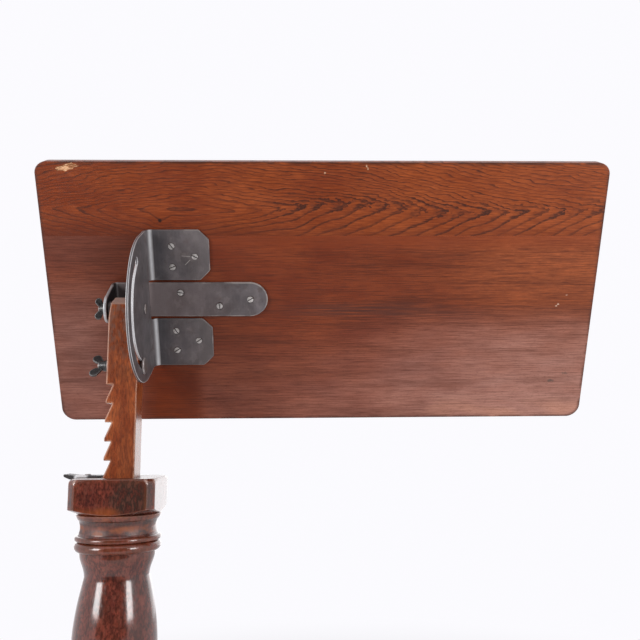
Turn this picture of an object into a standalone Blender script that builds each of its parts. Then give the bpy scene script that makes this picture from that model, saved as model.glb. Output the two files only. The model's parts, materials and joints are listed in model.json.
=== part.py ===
"""Tilt-top reading table.

A wide board is carried off-centre on an iron quadrant and strap. It tilts on a bolt through the top of a
ratchet post and is clamped through an arc slot. The post slides in a turned tripod column, and a sliding
catch on the column's head holds it at any notch. Lengths are in metres, +Z is up, the board runs along X.
"""

from math import cos, hypot, pi, radians, sin, sqrt

import bmesh
import bpy
from mathutils import Matrix, Vector

# Board
BOARD_WIDTH = 0.762
BOARD_DEPTH = 0.375
BOARD_THICKNESS = 0.019
BOARD_LEFT_OVERHANG = 0.117
BOARD_RISE = 0.0019
BOARD_CORNER_RADIUS = 0.019
BOARD_EDGE_ROUND = 0.002
FIGURED_PLANK_DEPTH = 0.1005
BOARD_TILT = radians(62)
TILT_LIMIT = radians(70)

# Quadrant plate, pivot strap and their bolts
PIVOT_TO_BOARD = 0.0443
QUADRANT_RADIUS = 0.098
QUADRANT_THICKNESS = 0.0032
QUADRANT_FOLD_RADIUS = 0.009
TAB_REACH = 0.107
TAB_CHAMFER = 0.0135
TAB_GAP = 0.056
TAB_NOTCH_TURN = radians(70)
SLOT_RADIUS = 0.076
STRAP_WIDTH = 0.049
STRAP_REACH = 0.185
STRAP_THICKNESS = 0.004
STRAP_FOLD_RADIUS = 0.004
EAR_RADIUS = 0.019
PIVOT_BOLT_RADIUS = 0.0032
PIVOT_HEAD_RADIUS = 0.0065
PIVOT_HEAD_HEIGHT = 0.0025
PIVOT_SPACER_RADIUS = 0.0105
PIVOT_SPACER_THICKNESS = 0.003
CLAMP_BOLT_RADIUS = 0.005
CLAMP_HEAD_RADIUS = 0.011
CLAMP_HEAD_HEIGHT = 0.0045
CLAMP_WASHER_RADIUS = 0.0115
CLAMP_WASHER_THICKNESS = 0.002
PIVOT_NUT_HEIGHT = 0.015
PIVOT_NUT_SPAN = 0.029
PIVOT_NUT_LOBE_RADIUS = 0.0049
PIVOT_NUT_HUB_RADIUS = 0.0062
PIVOT_NUT_HUB_HEIGHT = 0.0093
CLAMP_NUT_HEIGHT = 0.0225
CLAMP_NUT_SPAN = 0.037
CLAMP_NUT_LOBE_RADIUS = 0.0062
CLAMP_NUT_HUB_RADIUS = 0.0078
CLAMP_NUT_HUB_HEIGHT = 0.0118
CLAMP_NUT_TURN = radians(38)
NUT_HUB_TAPER = 0.0018
NUT_RIM_HEIGHT = 0.002
WING_THICKNESS = 0.003
WING_FOOT_HEIGHT = 0.002
WING_SADDLE_DROP = 0.0015
BOLT_END_STANDS_OUT = 0.001
BOLT_END_CHAMFER = 0.0009

# Wood screws of the bracket
SCREW_HEAD_RADIUS = 0.00465
SCREW_SHANK_RADIUS = 0.0022
SCREW_LENGTH = 0.0165
SCREW_SLOT_WIDTH = 0.0011
SCREW_SLOT_DEPTH = 0.001
SCREW_FIRST_TURN = radians(28)
SCREW_TURN_STEP = radians(57)
TAB_SCREW_NEAR = 0.056
TAB_SCREW_FAR = 0.087
TAB_SCREW_SPREAD = 0.029
TAB_SCREW_SHIFT = 0.0022
STRAP_SCREW_FROM_END = (0.024, 0.067, 0.120)
STRAP_SCREW_ASIDE = (0.0, -0.0095, 0.010)

# Ratchet post
POST_WIDTH = 0.0394
POST_DEPTH = 0.038
POST_TAIL = 0.340
PIVOT_ABOVE_HEAD = 0.2194
POST_ABOVE_PIVOT = 0.0135
POST_TOP_CHAMFER = 0.010
NOTCH_PITCH = 0.0241
NOTCH_DEPTH = 0.0086
NOTCH_TIP_FLAT = 0.004
SHELF_BELOW_HEAD_TOP = 0.0028
SHELVES_ABOVE_HEAD = 5
SHELVES_BELOW_HEAD = 8

# Column
HEAD_TOP_HEIGHT = 0.540
HEAD_SIZE = 0.106
HEAD_CHAMFER = 0.0088
HEAD_CORNER_HEIGHT = 0.0366
HEAD_SHOULDER_DROP = 0.0063
MORTISE_LENGTH = 0.060
COLUMN_BOTTOM_HEIGHT = 0.090
RING_RADIUS = 0.0528
RING_HEIGHT = 0.007
DRUM_RADIUS = 0.047
DRUM_HEIGHT = 0.019
TORUS_RADIUS = 0.0535
UPPER_TORUS_HEIGHT = 0.007
LOWER_TORUS_HEIGHT = 0.013
NECK_RADIUS = 0.040
NECK_HEIGHT = 0.030
VASE_RADIUS = 0.052
VASE_HEIGHT = 0.160
WAIST_RADIUS = 0.042
WAIST_HEIGHT = 0.022
SOCKET_DRUM_RADIUS = 0.058
SOCKET_DRUM_SHOULDER = 0.008

# Catch on the column head
CATCH_WIDTH = 0.024
CATCH_THICKNESS = 0.0024
CATCH_TRAVEL = 0.0085
CATCH_OVERHANG = 0.0085
CATCH_LIP_RUN = 0.0085
CATCH_LIP_RISE = 0.0012
CATCH_NOSE_GAP = 0.0008
CATCH_STEP_GAP = 0.0013
CATCH_SCREW_RADIUS = 0.002
CATCH_SCREW_HEAD_RADIUS = 0.0042
CATCH_SCREW_HEAD_HEIGHT = 0.002
CATCH_SCREW_LENGTH = 0.018

# Tripod legs and the plate under them
LEG_COUNT = 3
LEG_REACH = 0.300
LEG_THICKNESS = 0.034
LEG_ROOT_HEIGHT = 0.108
LEG_KNEE_REACH = 0.135
LEG_KNEE_DROP = 0.032
LEG_KNEE_SLOPE = -0.95
LEG_ANKLE_REACH = 0.238
LEG_ANKLE_HEIGHT = 0.057
LEG_ANKLE_SLOPE = -0.70
LEG_ANKLE_DEPTH = 0.030
LEG_ANKLE_UNDER_SLOPE = -0.80
LEG_ARCH_REACH = 0.155
LEG_ARCH_DROP = 0.011
LEG_ARCH_SLOPE = -0.50
FOOT_LENGTH = 0.050
FOOT_HEIGHT = 0.019
FOOT_SLOPE = -0.30
HEEL_SLOPE = -1.2
TOE_ROUND = 0.008
LEG_EDGE_ROUND = 0.003
DOVETAIL_DEPTH = 0.014
DOVETAIL_NECK = 0.014
DOVETAIL_FLARE = 0.020
DOVETAIL_SHOULDER = 0.014
SPIDER_RADIUS = 0.052
SPIDER_ARM_REACH = 0.092
SPIDER_ARM_WIDTH = 0.026
SPIDER_THICKNESS = 0.0025
SPIDER_LEG_SCREW_REACH = 0.080
SPIDER_COLUMN_SCREW_REACH = 0.043

# Clearances
SEAT_GAP = 0.0003
RUNNING_GAP = 0.0003
SLOT_GAP = 0.0005
MORTISE_GAP = 0.0004
BORE_GAP = 0.0016
POCKET_GAP = 0.0006
CUT_THROUGH = 0.005

# Fineness of the round surfaces
COLUMN_SIDES = 40
SHAFT_SIDES = 16
SCREW_SIDES = 12
HEAD_STEPS = 4
FOLD_STEPS = 5
ARC_STEPS = 36
CORNER_STEPS = 7
BEAD_STEPS = 6
LEG_CURVE_STEPS = 8

MERGE_DISTANCE = 0.00001
SHARP_ANGLE = radians(40)
ROUNDED_ANGLE = radians(60)
TOWARDS_RIGHT = (0, pi / 2, 0)
TOWARDS_LEFT = (0, -pi / 2, 0)

# Heights and places that follow from the sizes above
SHEET_PIVOT = PIVOT_TO_BOARD - SEAT_GAP
FLANGE_INNER_X = POST_WIDTH / 2 + RUNNING_GAP
FLANGE_OUTER_X = FLANGE_INNER_X + QUADRANT_THICKNESS
EAR_INNER_X = -(POST_WIDTH / 2 + PIVOT_SPACER_THICKNESS + 2 * RUNNING_GAP)
EAR_OUTER_X = EAR_INNER_X - STRAP_THICKNESS
HEAD_HEIGHT = HEAD_CORNER_HEIGHT + HEAD_SHOULDER_DROP
BORE_RADIUS = hypot(POST_WIDTH, POST_DEPTH) / 2 + BORE_GAP
LEG_SEAT_RADIUS = sqrt(SOCKET_DRUM_RADIUS ** 2 - (LEG_THICKNESS / 2) ** 2)
LEG_ROOT_TOP = COLUMN_BOTTOM_HEIGHT + LEG_ROOT_HEIGHT
LEG_TURNS = [2 * pi * count / LEG_COUNT for count in range(LEG_COUNT)]


def clear_scene():
    for item in list(bpy.data.objects):
        bpy.data.objects.remove(item, do_unlink=True)


def new_collection(name):
    group = bpy.data.collections.new(name)
    bpy.context.scene.collection.children.link(group)
    return group


def new_finish(name, colour, roughness, metallic):
    finish = bpy.data.materials.new(name)
    finish.use_nodes = True
    shader = finish.node_tree.nodes["Principled BSDF"]
    shader.inputs["Base Color"].default_value = (*colour, 1)
    shader.inputs["Roughness"].default_value = roughness
    shader.inputs["Metallic"].default_value = metallic
    return finish


def new_empty(name, parent, place=(0, 0, 0), turn=(0, 0, 0)):
    marker = bpy.data.objects.new(name, None)
    parts.objects.link(marker)
    marker.parent = parent
    marker.location = place
    marker.rotation_euler = turn
    return marker


def place_mesh(mesh, name, group, parent, place, turn):
    piece = bpy.data.objects.new(name, mesh)
    group.objects.link(piece)
    piece.parent = parent
    piece.location = place
    piece.rotation_euler = turn
    return piece


def new_part(mesh, name, finish, parent, place=(0, 0, 0), turn=(0, 0, 0)):
    """Adds a sub-part, with its finish carried by the object so that a mesh can be shared."""
    piece = place_mesh(mesh, name, parts, parent, place, turn)
    if not mesh.materials:
        mesh.materials.append(None)
    piece.material_slots[0].link = "OBJECT"
    piece.material_slots[0].material = finish
    return piece


def new_cutter(mesh, name, parent, place=(0, 0, 0), turn=(0, 0, 0)):
    tool = place_mesh(mesh, name, cutters, parent, place, turn)
    tool.hide_render = True
    tool.display_type = "WIRE"
    return tool


def combine(piece, tool, operation):
    step = piece.modifiers.new(operation.lower() + " " + tool.name, "BOOLEAN")
    step.operation = operation
    step.solver = "EXACT"
    step.object = tool


def cut(piece, tool):
    combine(piece, tool, "DIFFERENCE")


def round_edges(piece, width, segments=2):
    step = piece.modifiers.new("rounded edges", "BEVEL")
    step.width = width
    step.segments = segments
    step.limit_method = "ANGLE"
    step.angle_limit = ROUNDED_ANGLE


def baked_mesh(piece, name):
    """The piece's shape with its modifiers worked in, as a mesh of its own; the piece itself is removed."""
    graph = bpy.context.evaluated_depsgraph_get()
    mesh = bpy.data.meshes.new_from_object(piece.evaluated_get(graph))
    mesh.name = name
    bpy.data.objects.remove(piece, do_unlink=True)
    return mesh


def mesh_of(form, name):
    mesh = bpy.data.meshes.new(name)
    form.to_mesh(mesh)
    form.free()
    return mesh


def shaded(mesh):
    mesh.shade_smooth()
    mesh.set_sharp_from_angle(angle=SHARP_ANGLE)
    return mesh


def box_mesh(name, low, high):
    form = bmesh.new()
    middle = (Vector(low) + Vector(high)) / 2
    size = Vector(high) - Vector(low)
    matrix = Matrix.Translation(middle) @ Matrix.Diagonal((*size, 1))
    bmesh.ops.create_cube(form, size=1, matrix=matrix)
    return mesh_of(form, name)


def rod_mesh(name, radius, places, bottom, top, sides=SHAFT_SIDES):
    """Upright round rods at each (x, y) place, used for boring."""
    form = bmesh.new()
    for x, y in places:
        matrix = Matrix.Translation((x, y, (bottom + top) / 2))
        bmesh.ops.create_cone(form, cap_ends=True, segments=sides, radius1=radius, radius2=radius,
                              depth=top - bottom, matrix=matrix)
    return mesh_of(form, name)


def screw_holes_mesh(places, bottom, top):
    """Holes for the shanks of screws at each (x, y) place."""
    return rod_mesh("screw_holes", SCREW_SHANK_RADIUS + RUNNING_GAP, places, bottom, top, SCREW_SIDES)


def flat_mesh(name, outlines, bottom, top):
    """A flat outline with any holes, as a closed slab between two heights."""
    drawing = bpy.data.curves.new(name, "CURVE")
    drawing.dimensions = "2D"
    drawing.fill_mode = "BOTH"
    drawing.extrude = (top - bottom) / 2
    for outline in outlines:
        spline = drawing.splines.new("POLY")
        spline.points.add(len(outline) - 1)
        for point, (x, y) in zip(spline.points, outline):
            point.co = (x, y, 0, 1)
        spline.use_cyclic_u = True
    sketch = bpy.data.objects.new(name, drawing)
    cutters.objects.link(sketch)
    mesh = baked_mesh(sketch, name)
    form = bmesh.new()
    form.from_mesh(mesh)
    bmesh.ops.remove_doubles(form, verts=form.verts, dist=MERGE_DISTANCE)
    bmesh.ops.translate(form, verts=form.verts, vec=(0, 0, (top + bottom) / 2))
    bmesh.ops.recalc_face_normals(form, faces=form.faces)
    form.to_mesh(mesh)
    form.free()
    mesh.materials.clear()
    return mesh


def turned_mesh(name, profile, sides):
    """Turns a profile of (radius, height) points, from top to bottom, about the Z axis."""
    mesh = bpy.data.meshes.new(name)
    points = [(radius, 0, height) for radius, height in profile]
    mesh.from_pydata(points, [(index, index + 1) for index in range(len(points) - 1)], [])
    blank = bpy.data.objects.new(name, mesh)
    cutters.objects.link(blank)
    lathe = blank.modifiers.new("lathe", "SCREW")
    lathe.axis = "Z"
    lathe.angle = 2 * pi
    lathe.steps = sides
    lathe.render_steps = sides
    lathe.use_merge_vertices = True
    lathe.merge_threshold = MERGE_DISTANCE
    return baked_mesh(blank, name)


def sawn_mesh(mesh, name, point, normal):
    """A copy of a closed mesh without what lies on the normal's side of a plane, with the cut face closed."""
    form = bmesh.new()
    form.from_mesh(mesh)
    everything = form.verts[:] + form.edges[:] + form.faces[:]
    kept = bmesh.ops.bisect_plane(form, geom=everything, plane_co=point, plane_no=normal, clear_outer=True)
    rim = [item for item in kept["geom_cut"] if isinstance(item, bmesh.types.BMEdge)]
    bmesh.ops.edgenet_fill(form, edges=rim)
    bmesh.ops.recalc_face_normals(form, faces=form.faces)
    return mesh_of(form, name)


def arc(centre_x, centre_y, radius, start, end, steps, squash=1):
    """Points along an arc; squash flattens it in y."""
    turns = [start + (end - start) * step / steps for step in range(steps + 1)]
    return [(centre_x + radius * cos(turn), centre_y + squash * radius * sin(turn)) for turn in turns]


def ring(centre_x, centre_y, radius, sides=SHAFT_SIDES):
    return arc(centre_x, centre_y, radius, 0, 2 * pi, sides)[:-1]


def fold_length(inner_radius, thickness):
    return (inner_radius + thickness / 2) * pi / 2


def flat_place(height, fold_x, inner_radius, thickness):
    """Where a point of the turned-up leg at this height lies on the sheet before it is folded."""
    return fold_x - fold_length(inner_radius, thickness) - (height - inner_radius - thickness)


def fold_sheet(mesh, fold_x, inner_radius, thickness):
    """Turns what lies left of fold_x up to a right angle; the sheet lies from z = 0 to its thickness."""
    form = bmesh.new()
    form.from_mesh(mesh)
    length = fold_length(inner_radius, thickness)
    for step in range(FOLD_STEPS + 1):
        everything = form.verts[:] + form.edges[:] + form.faces[:]
        bmesh.ops.bisect_plane(form, geom=everything, plane_co=(fold_x - length * step / FOLD_STEPS, 0, 0),
                               plane_no=(1, 0, 0), dist=MERGE_DISTANCE / 10)
    for vert in form.verts:
        past = fold_x - vert.co.x
        if past > 0:
            turn = min(past / length, 1) * pi / 2
            reach = inner_radius + thickness - vert.co.z
            vert.co.x = fold_x - reach * sin(turn)
            vert.co.z = inner_radius + thickness - reach * cos(turn) + max(past - length, 0)
    form.to_mesh(mesh)
    form.free()
    return mesh


def dome_profile(radius, height, shank_radius, shank_length, end_chamfer):
    """A low domed bolt head above z = 0 with its shank below."""
    dome = arc(0, 0, radius, pi / 2, 0, HEAD_STEPS, squash=height / radius)
    shank = [(shank_radius, 0), (shank_radius, end_chamfer - shank_length),
             (shank_radius - end_chamfer, -shank_length), (0, -shank_length)]
    return [(max(x, 0), y) for x, y in dome] + shank


def board_mesh():
    low_x = -BOARD_LEFT_OVERHANG
    high_x = BOARD_WIDTH - BOARD_LEFT_OVERHANG
    low_y = BOARD_RISE - BOARD_DEPTH / 2
    high_y = BOARD_RISE + BOARD_DEPTH / 2
    radius = BOARD_CORNER_RADIUS
    corners = ((high_x - radius, low_y + radius, -pi / 2), (high_x - radius, high_y - radius, 0),
               (low_x + radius, high_y - radius, pi / 2), (low_x + radius, low_y + radius, pi))
    outline = []
    for x, y, start in corners:
        outline += arc(x, y, radius, start, start + pi / 2, CORNER_STEPS)
    board = new_part(flat_mesh("board", [outline], -BOARD_THICKNESS, 0), "board", None, None)
    round_edges(board, BOARD_EDGE_ROUND)
    return baked_mesh(board, "board")


def make_planks(underside, finish_figured, finish_plain, screw_places):
    """The board's two planks, glued edge to edge and drilled for the bracket's screws."""
    whole = board_mesh()
    joint_y = BOARD_RISE + BOARD_DEPTH / 2 - FIGURED_PLANK_DEPTH
    figured = sawn_mesh(whole, "figured_plank", (0, joint_y + SEAT_GAP / 2, 0), (0, -1, 0))
    plain = sawn_mesh(whole, "plain_plank", (0, joint_y - SEAT_GAP / 2, 0), (0, 1, 0))
    planks = (new_part(figured, "figured_plank", finish_figured, underside),
              new_part(plain, "plain_plank", finish_plain, underside))
    for thickness, places in screw_places:
        holes = screw_holes_mesh(places, thickness - SCREW_LENGTH, CUT_THROUGH)
        drill = new_cutter(holes, "plank_screw_holes", underside)
        for plank in planks:
            cut(plank, drill)


def tab_screw_places():
    middle = (TAB_GAP / 2 + QUADRANT_RADIUS) / 2 - TAB_SCREW_SHIFT
    places = []
    for side in (1, -1):
        places.append((TAB_SCREW_NEAR, side * (middle + TAB_SCREW_SPREAD / 2)))
        places.append((TAB_SCREW_NEAR, side * (middle - TAB_SCREW_SPREAD / 2)))
        places.append((TAB_SCREW_FAR, side * middle))
    return places


def strap_screw_places():
    return [(STRAP_REACH - back, aside) for back, aside in zip(STRAP_SCREW_FROM_END, STRAP_SCREW_ASIDE)]


def drill_sheet(sheet, name, places, thickness):
    """Countersunk screw holes through a sheet that lies from 0 to thickness in its own frame."""
    cone_depth = SCREW_HEAD_RADIUS - SCREW_SHANK_RADIUS
    form = bmesh.new()
    for x, y in places:
        seat = Matrix.Translation((x, y, thickness + (CUT_THROUGH - cone_depth) / 2))
        bmesh.ops.create_cone(form, cap_ends=True, segments=SCREW_SIDES,
                              radius1=SCREW_SHANK_RADIUS + RUNNING_GAP,
                              radius2=SCREW_HEAD_RADIUS + RUNNING_GAP + CUT_THROUGH,
                              depth=cone_depth + CUT_THROUGH, matrix=seat)
    holes = screw_holes_mesh(places, -CUT_THROUGH, thickness)
    for label, mesh in (("_countersinks", mesh_of(form, "countersinks")), ("_screw_holes", holes)):
        cut(sheet, new_cutter(mesh, name + label, sheet.parent, sheet.location, sheet.rotation_euler))


def arc_slot(centre_x, radius, half_width, first, last):
    """Outline of a round-ended slot along an arc about (centre_x, 0)."""
    outer = arc(centre_x, 0, radius + half_width, first, last, ARC_STEPS)
    inner = arc(centre_x, 0, radius - half_width, last, first, ARC_STEPS)
    ends = []
    for place, start in ((last, last), (first, first + pi)):
        x = centre_x + radius * cos(place)
        y = radius * sin(place)
        ends.append(arc(x, y, half_width, start, start + pi, SHAFT_SIDES // 2)[1:-1])
    return outer + ends[0] + inner + ends[1]


def make_quadrant(underside, finish):
    """The slotted quadrant: two tabs under the board, turned up into a round-ended flange."""
    fold_x = FLANGE_OUTER_X + QUADRANT_FOLD_RADIUS
    pivot_x = flat_place(SHEET_PIVOT, fold_x, QUADRANT_FOLD_RADIUS, QUADRANT_THICKNESS)
    notch_x = fold_x - fold_length(QUADRANT_FOLD_RADIUS, QUADRANT_THICKNESS) * TAB_NOTCH_TURN / (pi / 2)
    half_gap = TAB_GAP / 2
    chamfer_x = TAB_REACH - TAB_CHAMFER
    upper_tab = [(notch_x, half_gap), (chamfer_x, half_gap), (TAB_REACH, half_gap + TAB_CHAMFER),
                 (TAB_REACH, QUADRANT_RADIUS - TAB_CHAMFER), (chamfer_x, QUADRANT_RADIUS)]
    lower_tab = [(x, -y) for x, y in reversed(upper_tab)]
    rim = arc(pivot_x, 0, QUADRANT_RADIUS, pi / 2, 3 * pi / 2, ARC_STEPS)
    slot = arc_slot(pivot_x, SLOT_RADIUS, CLAMP_BOLT_RADIUS + SLOT_GAP, pi - TILT_LIMIT, pi + TILT_LIMIT)
    pivot_hole = ring(pivot_x, 0, PIVOT_BOLT_RADIUS + RUNNING_GAP)
    outlines = [upper_tab + rim + lower_tab, slot, pivot_hole]
    sheet = flat_mesh("quadrant_plate", outlines, 0, QUADRANT_THICKNESS)
    fold_sheet(sheet, fold_x, QUADRANT_FOLD_RADIUS, QUADRANT_THICKNESS)
    plate = new_part(shaded(sheet), "quadrant_plate", finish, underside, (0, 0, SEAT_GAP))
    drill_sheet(plate, "tab", tab_screw_places(), QUADRANT_THICKNESS)


def make_strap(underside, finish):
    """The pivot strap: a round-ended bar under the board, turned up into an ear at the post's other side."""
    fold_x = EAR_INNER_X + STRAP_FOLD_RADIUS
    pivot_x = flat_place(SHEET_PIVOT, fold_x, STRAP_FOLD_RADIUS, STRAP_THICKNESS)
    shoulder_x = fold_x - fold_length(STRAP_FOLD_RADIUS, STRAP_THICKNESS)
    half = STRAP_WIDTH / 2
    outline = [(shoulder_x, -half)] + arc(STRAP_REACH - half, 0, half, -pi / 2, pi / 2, ARC_STEPS // 2)
    outline += [(shoulder_x, half)] + arc(pivot_x, 0, EAR_RADIUS, pi / 2, 3 * pi / 2, ARC_STEPS // 2)
    hole = ring(pivot_x, 0, PIVOT_BOLT_RADIUS + RUNNING_GAP)
    sheet = flat_mesh("pivot_strap", [outline, hole], 0, STRAP_THICKNESS)
    fold_sheet(sheet, fold_x, STRAP_FOLD_RADIUS, STRAP_THICKNESS)
    strap = new_part(shaded(sheet), "pivot_strap", finish, underside, (0, 0, SEAT_GAP))
    drill_sheet(strap, "strap", strap_screw_places(), STRAP_THICKNESS)


def screw_mesh():
    """A countersunk wood screw with a slotted head; its head's top is at z = 0."""
    cone_depth = SCREW_HEAD_RADIUS - SCREW_SHANK_RADIUS
    tip = SEAT_GAP - SCREW_LENGTH
    profile = [(0, 0), (SCREW_HEAD_RADIUS, 0), (SCREW_SHANK_RADIUS, -cone_depth),
               (SCREW_SHANK_RADIUS, tip + SCREW_SHANK_RADIUS), (0, tip)]
    screw = new_part(turned_mesh("wood_screw", profile, SCREW_SIDES), "wood_screw", None, None)
    slot = box_mesh("screw_slot", (-SCREW_HEAD_RADIUS * 2, -SCREW_SLOT_WIDTH / 2, -SCREW_SLOT_DEPTH),
                    (SCREW_HEAD_RADIUS * 2, SCREW_SLOT_WIDTH / 2, CUT_THROUGH))
    cut(screw, new_cutter(slot, "screw_slot", None))
    return baked_mesh(screw, "wood_screw")


def make_bracket_screws(underside, finish, screw):
    """Nine wood screws, each with its slot at another angle, as they were driven home."""
    rows = [("tab_screw", place, QUADRANT_THICKNESS) for place in tab_screw_places()]
    rows += [("strap_screw", place, STRAP_THICKNESS) for place in strap_screw_places()]
    for count, (name, (x, y), thickness) in enumerate(rows):
        turn = SCREW_FIRST_TURN + count * SCREW_TURN_STEP
        label = f"{name}_{count + 1}"
        new_part(screw, label, finish, underside, (x, y, SEAT_GAP + thickness), (0, 0, turn))


def wing_outline(height, span, lobe_radius, hub_height):
    """Both wings of a nut, spreading from the hub's foot to their lobes, with a saddle between them."""
    lobe_x = span / 2 - lobe_radius
    lobe_y = height - lobe_radius
    right = arc(lobe_x, lobe_y, lobe_radius, -pi / 4, 3 * pi / 4, CORNER_STEPS)
    left = [(-x, y) for x, y in reversed(right)]
    return [(0, WING_FOOT_HEIGHT)] + right + [(0, hub_height - WING_SADDLE_DROP)] + left


def make_wing_nut(name, axis, finish, sizes, bolt_radius, turn):
    """A wing nut whose seat is at z = 0 of its own frame and whose wings spread as they rise."""
    height, span, lobe_radius, hub_radius, hub_height = sizes
    profile = [(0, hub_height), (hub_radius - NUT_HUB_TAPER, hub_height), (hub_radius, NUT_RIM_HEIGHT),
               (hub_radius, 0), (0, 0)]
    nut = new_part(turned_mesh(name, profile, SHAFT_SIDES), name, finish, axis, turn=(0, 0, turn))
    outline = wing_outline(height, span, lobe_radius, hub_height)
    wings = flat_mesh(name + "_wings", [outline], -WING_THICKNESS / 2, WING_THICKNESS / 2)
    upright = Matrix.Rotation(turn, 3, "Z") @ Matrix.Rotation(pi / 2, 3, "X")
    combine(nut, new_cutter(wings, name + "_wings", axis, turn=upright.to_euler()), "UNION")
    bore = rod_mesh(name + "_bore", bolt_radius + RUNNING_GAP, [(0, 0)], -CUT_THROUGH, height + CUT_THROUGH)
    cut(nut, new_cutter(bore, name + "_bore", axis))


def make_bolt(name, post_axis, finish, sizes, nut_x, height):
    """A dome-headed bolt from the flange's outer side to just past its nut."""
    radius, head_radius, head_height, nut_hub_height = sizes
    head_x = FLANGE_OUTER_X + SEAT_GAP
    length = head_x - nut_x + nut_hub_height + BOLT_END_STANDS_OUT
    profile = dome_profile(head_radius, head_height, radius, length, BOLT_END_CHAMFER)
    bolt = shaded(turned_mesh(name, profile, SHAFT_SIDES))
    new_part(bolt, name, finish, post_axis, (head_x, 0, height), TOWARDS_RIGHT)


def make_disc(name, post_axis, finish, radius, bolt_radius, thickness, height):
    """A flat washer against the post's left side."""
    disc = flat_mesh(name, [ring(0, 0, radius), ring(0, 0, bolt_radius + RUNNING_GAP)], 0, thickness)
    new_part(shaded(disc), name, finish, post_axis, (-POST_WIDTH / 2 - SEAT_GAP, 0, height), TOWARDS_LEFT)


def make_pivot(post_axis, finish_bolt, finish_nut):
    """The tilting pivot: a bolt through flange, post, spacer and ear, with its wing nut at the ear."""
    height = PIVOT_ABOVE_HEAD
    nut_x = EAR_OUTER_X - SEAT_GAP
    bolt_sizes = (PIVOT_BOLT_RADIUS, PIVOT_HEAD_RADIUS, PIVOT_HEAD_HEIGHT, PIVOT_NUT_HUB_HEIGHT)
    nut_sizes = (PIVOT_NUT_HEIGHT, PIVOT_NUT_SPAN, PIVOT_NUT_LOBE_RADIUS, PIVOT_NUT_HUB_RADIUS,
                 PIVOT_NUT_HUB_HEIGHT)
    make_bolt("pivot_bolt", post_axis, finish_bolt, bolt_sizes, nut_x, height)
    make_disc("pivot_spacer", post_axis, finish_bolt, PIVOT_SPACER_RADIUS, PIVOT_BOLT_RADIUS,
              PIVOT_SPACER_THICKNESS, height)
    nut_axis = new_empty("pivot_nut_axis", post_axis, (nut_x, 0, height), TOWARDS_LEFT)
    make_wing_nut("pivot_wing_nut", nut_axis, finish_nut, nut_sizes, PIVOT_BOLT_RADIUS, 0)


def make_clamp(post_axis, finish_bolt, finish_nut):
    """The tilt clamp: a bolt through the arc slot and the post, with a washer and a wing nut at the left."""
    height = PIVOT_ABOVE_HEAD - SLOT_RADIUS
    nut_x = -POST_WIDTH / 2 - CLAMP_WASHER_THICKNESS - 2 * SEAT_GAP
    bolt_sizes = (CLAMP_BOLT_RADIUS, CLAMP_HEAD_RADIUS, CLAMP_HEAD_HEIGHT, CLAMP_NUT_HUB_HEIGHT)
    nut_sizes = (CLAMP_NUT_HEIGHT, CLAMP_NUT_SPAN, CLAMP_NUT_LOBE_RADIUS, CLAMP_NUT_HUB_RADIUS,
                 CLAMP_NUT_HUB_HEIGHT)
    make_bolt("clamp_bolt", post_axis, finish_bolt, bolt_sizes, nut_x, height)
    make_disc("clamp_washer", post_axis, finish_bolt, CLAMP_WASHER_RADIUS, CLAMP_BOLT_RADIUS,
              CLAMP_WASHER_THICKNESS, height)
    nut_axis = new_empty("clamp_nut_axis", post_axis, (nut_x, 0, height), TOWARDS_LEFT)
    make_wing_nut("clamp_wing_nut", nut_axis, finish_nut, nut_sizes, CLAMP_BOLT_RADIUS, CLAMP_NUT_TURN)


def shelf_height(count):
    """Height of a notch's shelf above the column head's top; shelf 0 rests on the catch."""
    return count * NOTCH_PITCH - SHELF_BELOW_HEAD_TOP


def make_post(post_axis, finish):
    """The ratchet post: square, toothed down its left side, with shelves that face down onto the catch."""
    left = -POST_WIDTH / 2
    right = POST_WIDTH / 2
    top = PIVOT_ABOVE_HEAD + POST_ABOVE_PIVOT
    outline = [(left, -POST_TAIL), (right, -POST_TAIL), (right, top), (left, top)]
    for count in range(SHELVES_ABOVE_HEAD, -SHELVES_BELOW_HEAD - 1, -1):
        shelf = shelf_height(count)
        tip = shelf - NOTCH_PITCH + NOTCH_TIP_FLAT
        outline += [(left, shelf), (left + NOTCH_DEPTH, shelf), (left, tip)]
    mesh = flat_mesh("ratchet_post", [outline], -POST_DEPTH / 2, POST_DEPTH / 2)
    mesh.transform(Matrix.Rotation(pi / 2, 4, "X"))
    for side in (1, -1):
        edge = (0, side * (POST_DEPTH / 2 - POST_TOP_CHAMFER), top)
        mesh = sawn_mesh(mesh, "ratchet_post", edge, (0, side, 1))
    post = new_part(mesh, "ratchet_post", finish, post_axis)
    bores = ((PIVOT_BOLT_RADIUS, PIVOT_ABOVE_HEAD), (CLAMP_BOLT_RADIUS, PIVOT_ABOVE_HEAD - SLOT_RADIUS))
    for radius, height in bores:
        bore = rod_mesh("post_bore", radius + RUNNING_GAP, [(0, 0)], -POST_WIDTH, POST_WIDTH)
        cut(post, new_cutter(bore, "post_bore", post_axis, (0, 0, height), TOWARDS_RIGHT))


def bead(radius, depth, top, height):
    """A half-round moulding that stands out from radius by depth, from its top down."""
    return arc(radius, top - height / 2, depth, pi / 2, -pi / 2, BEAD_STEPS, squash=height / (2 * depth))


def swell(start_radius, end_radius, bulge, top, height, steps):
    """A long flowing stretch between two radii that stands out by bulge at its middle."""
    points = []
    for step in range(1, steps):
        share = step / steps
        radius = start_radius + (end_radius - start_radius) * (1 - cos(pi * share)) / 2
        points.append((radius + bulge * sin(pi * share), top - height * share))
    return points


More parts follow.
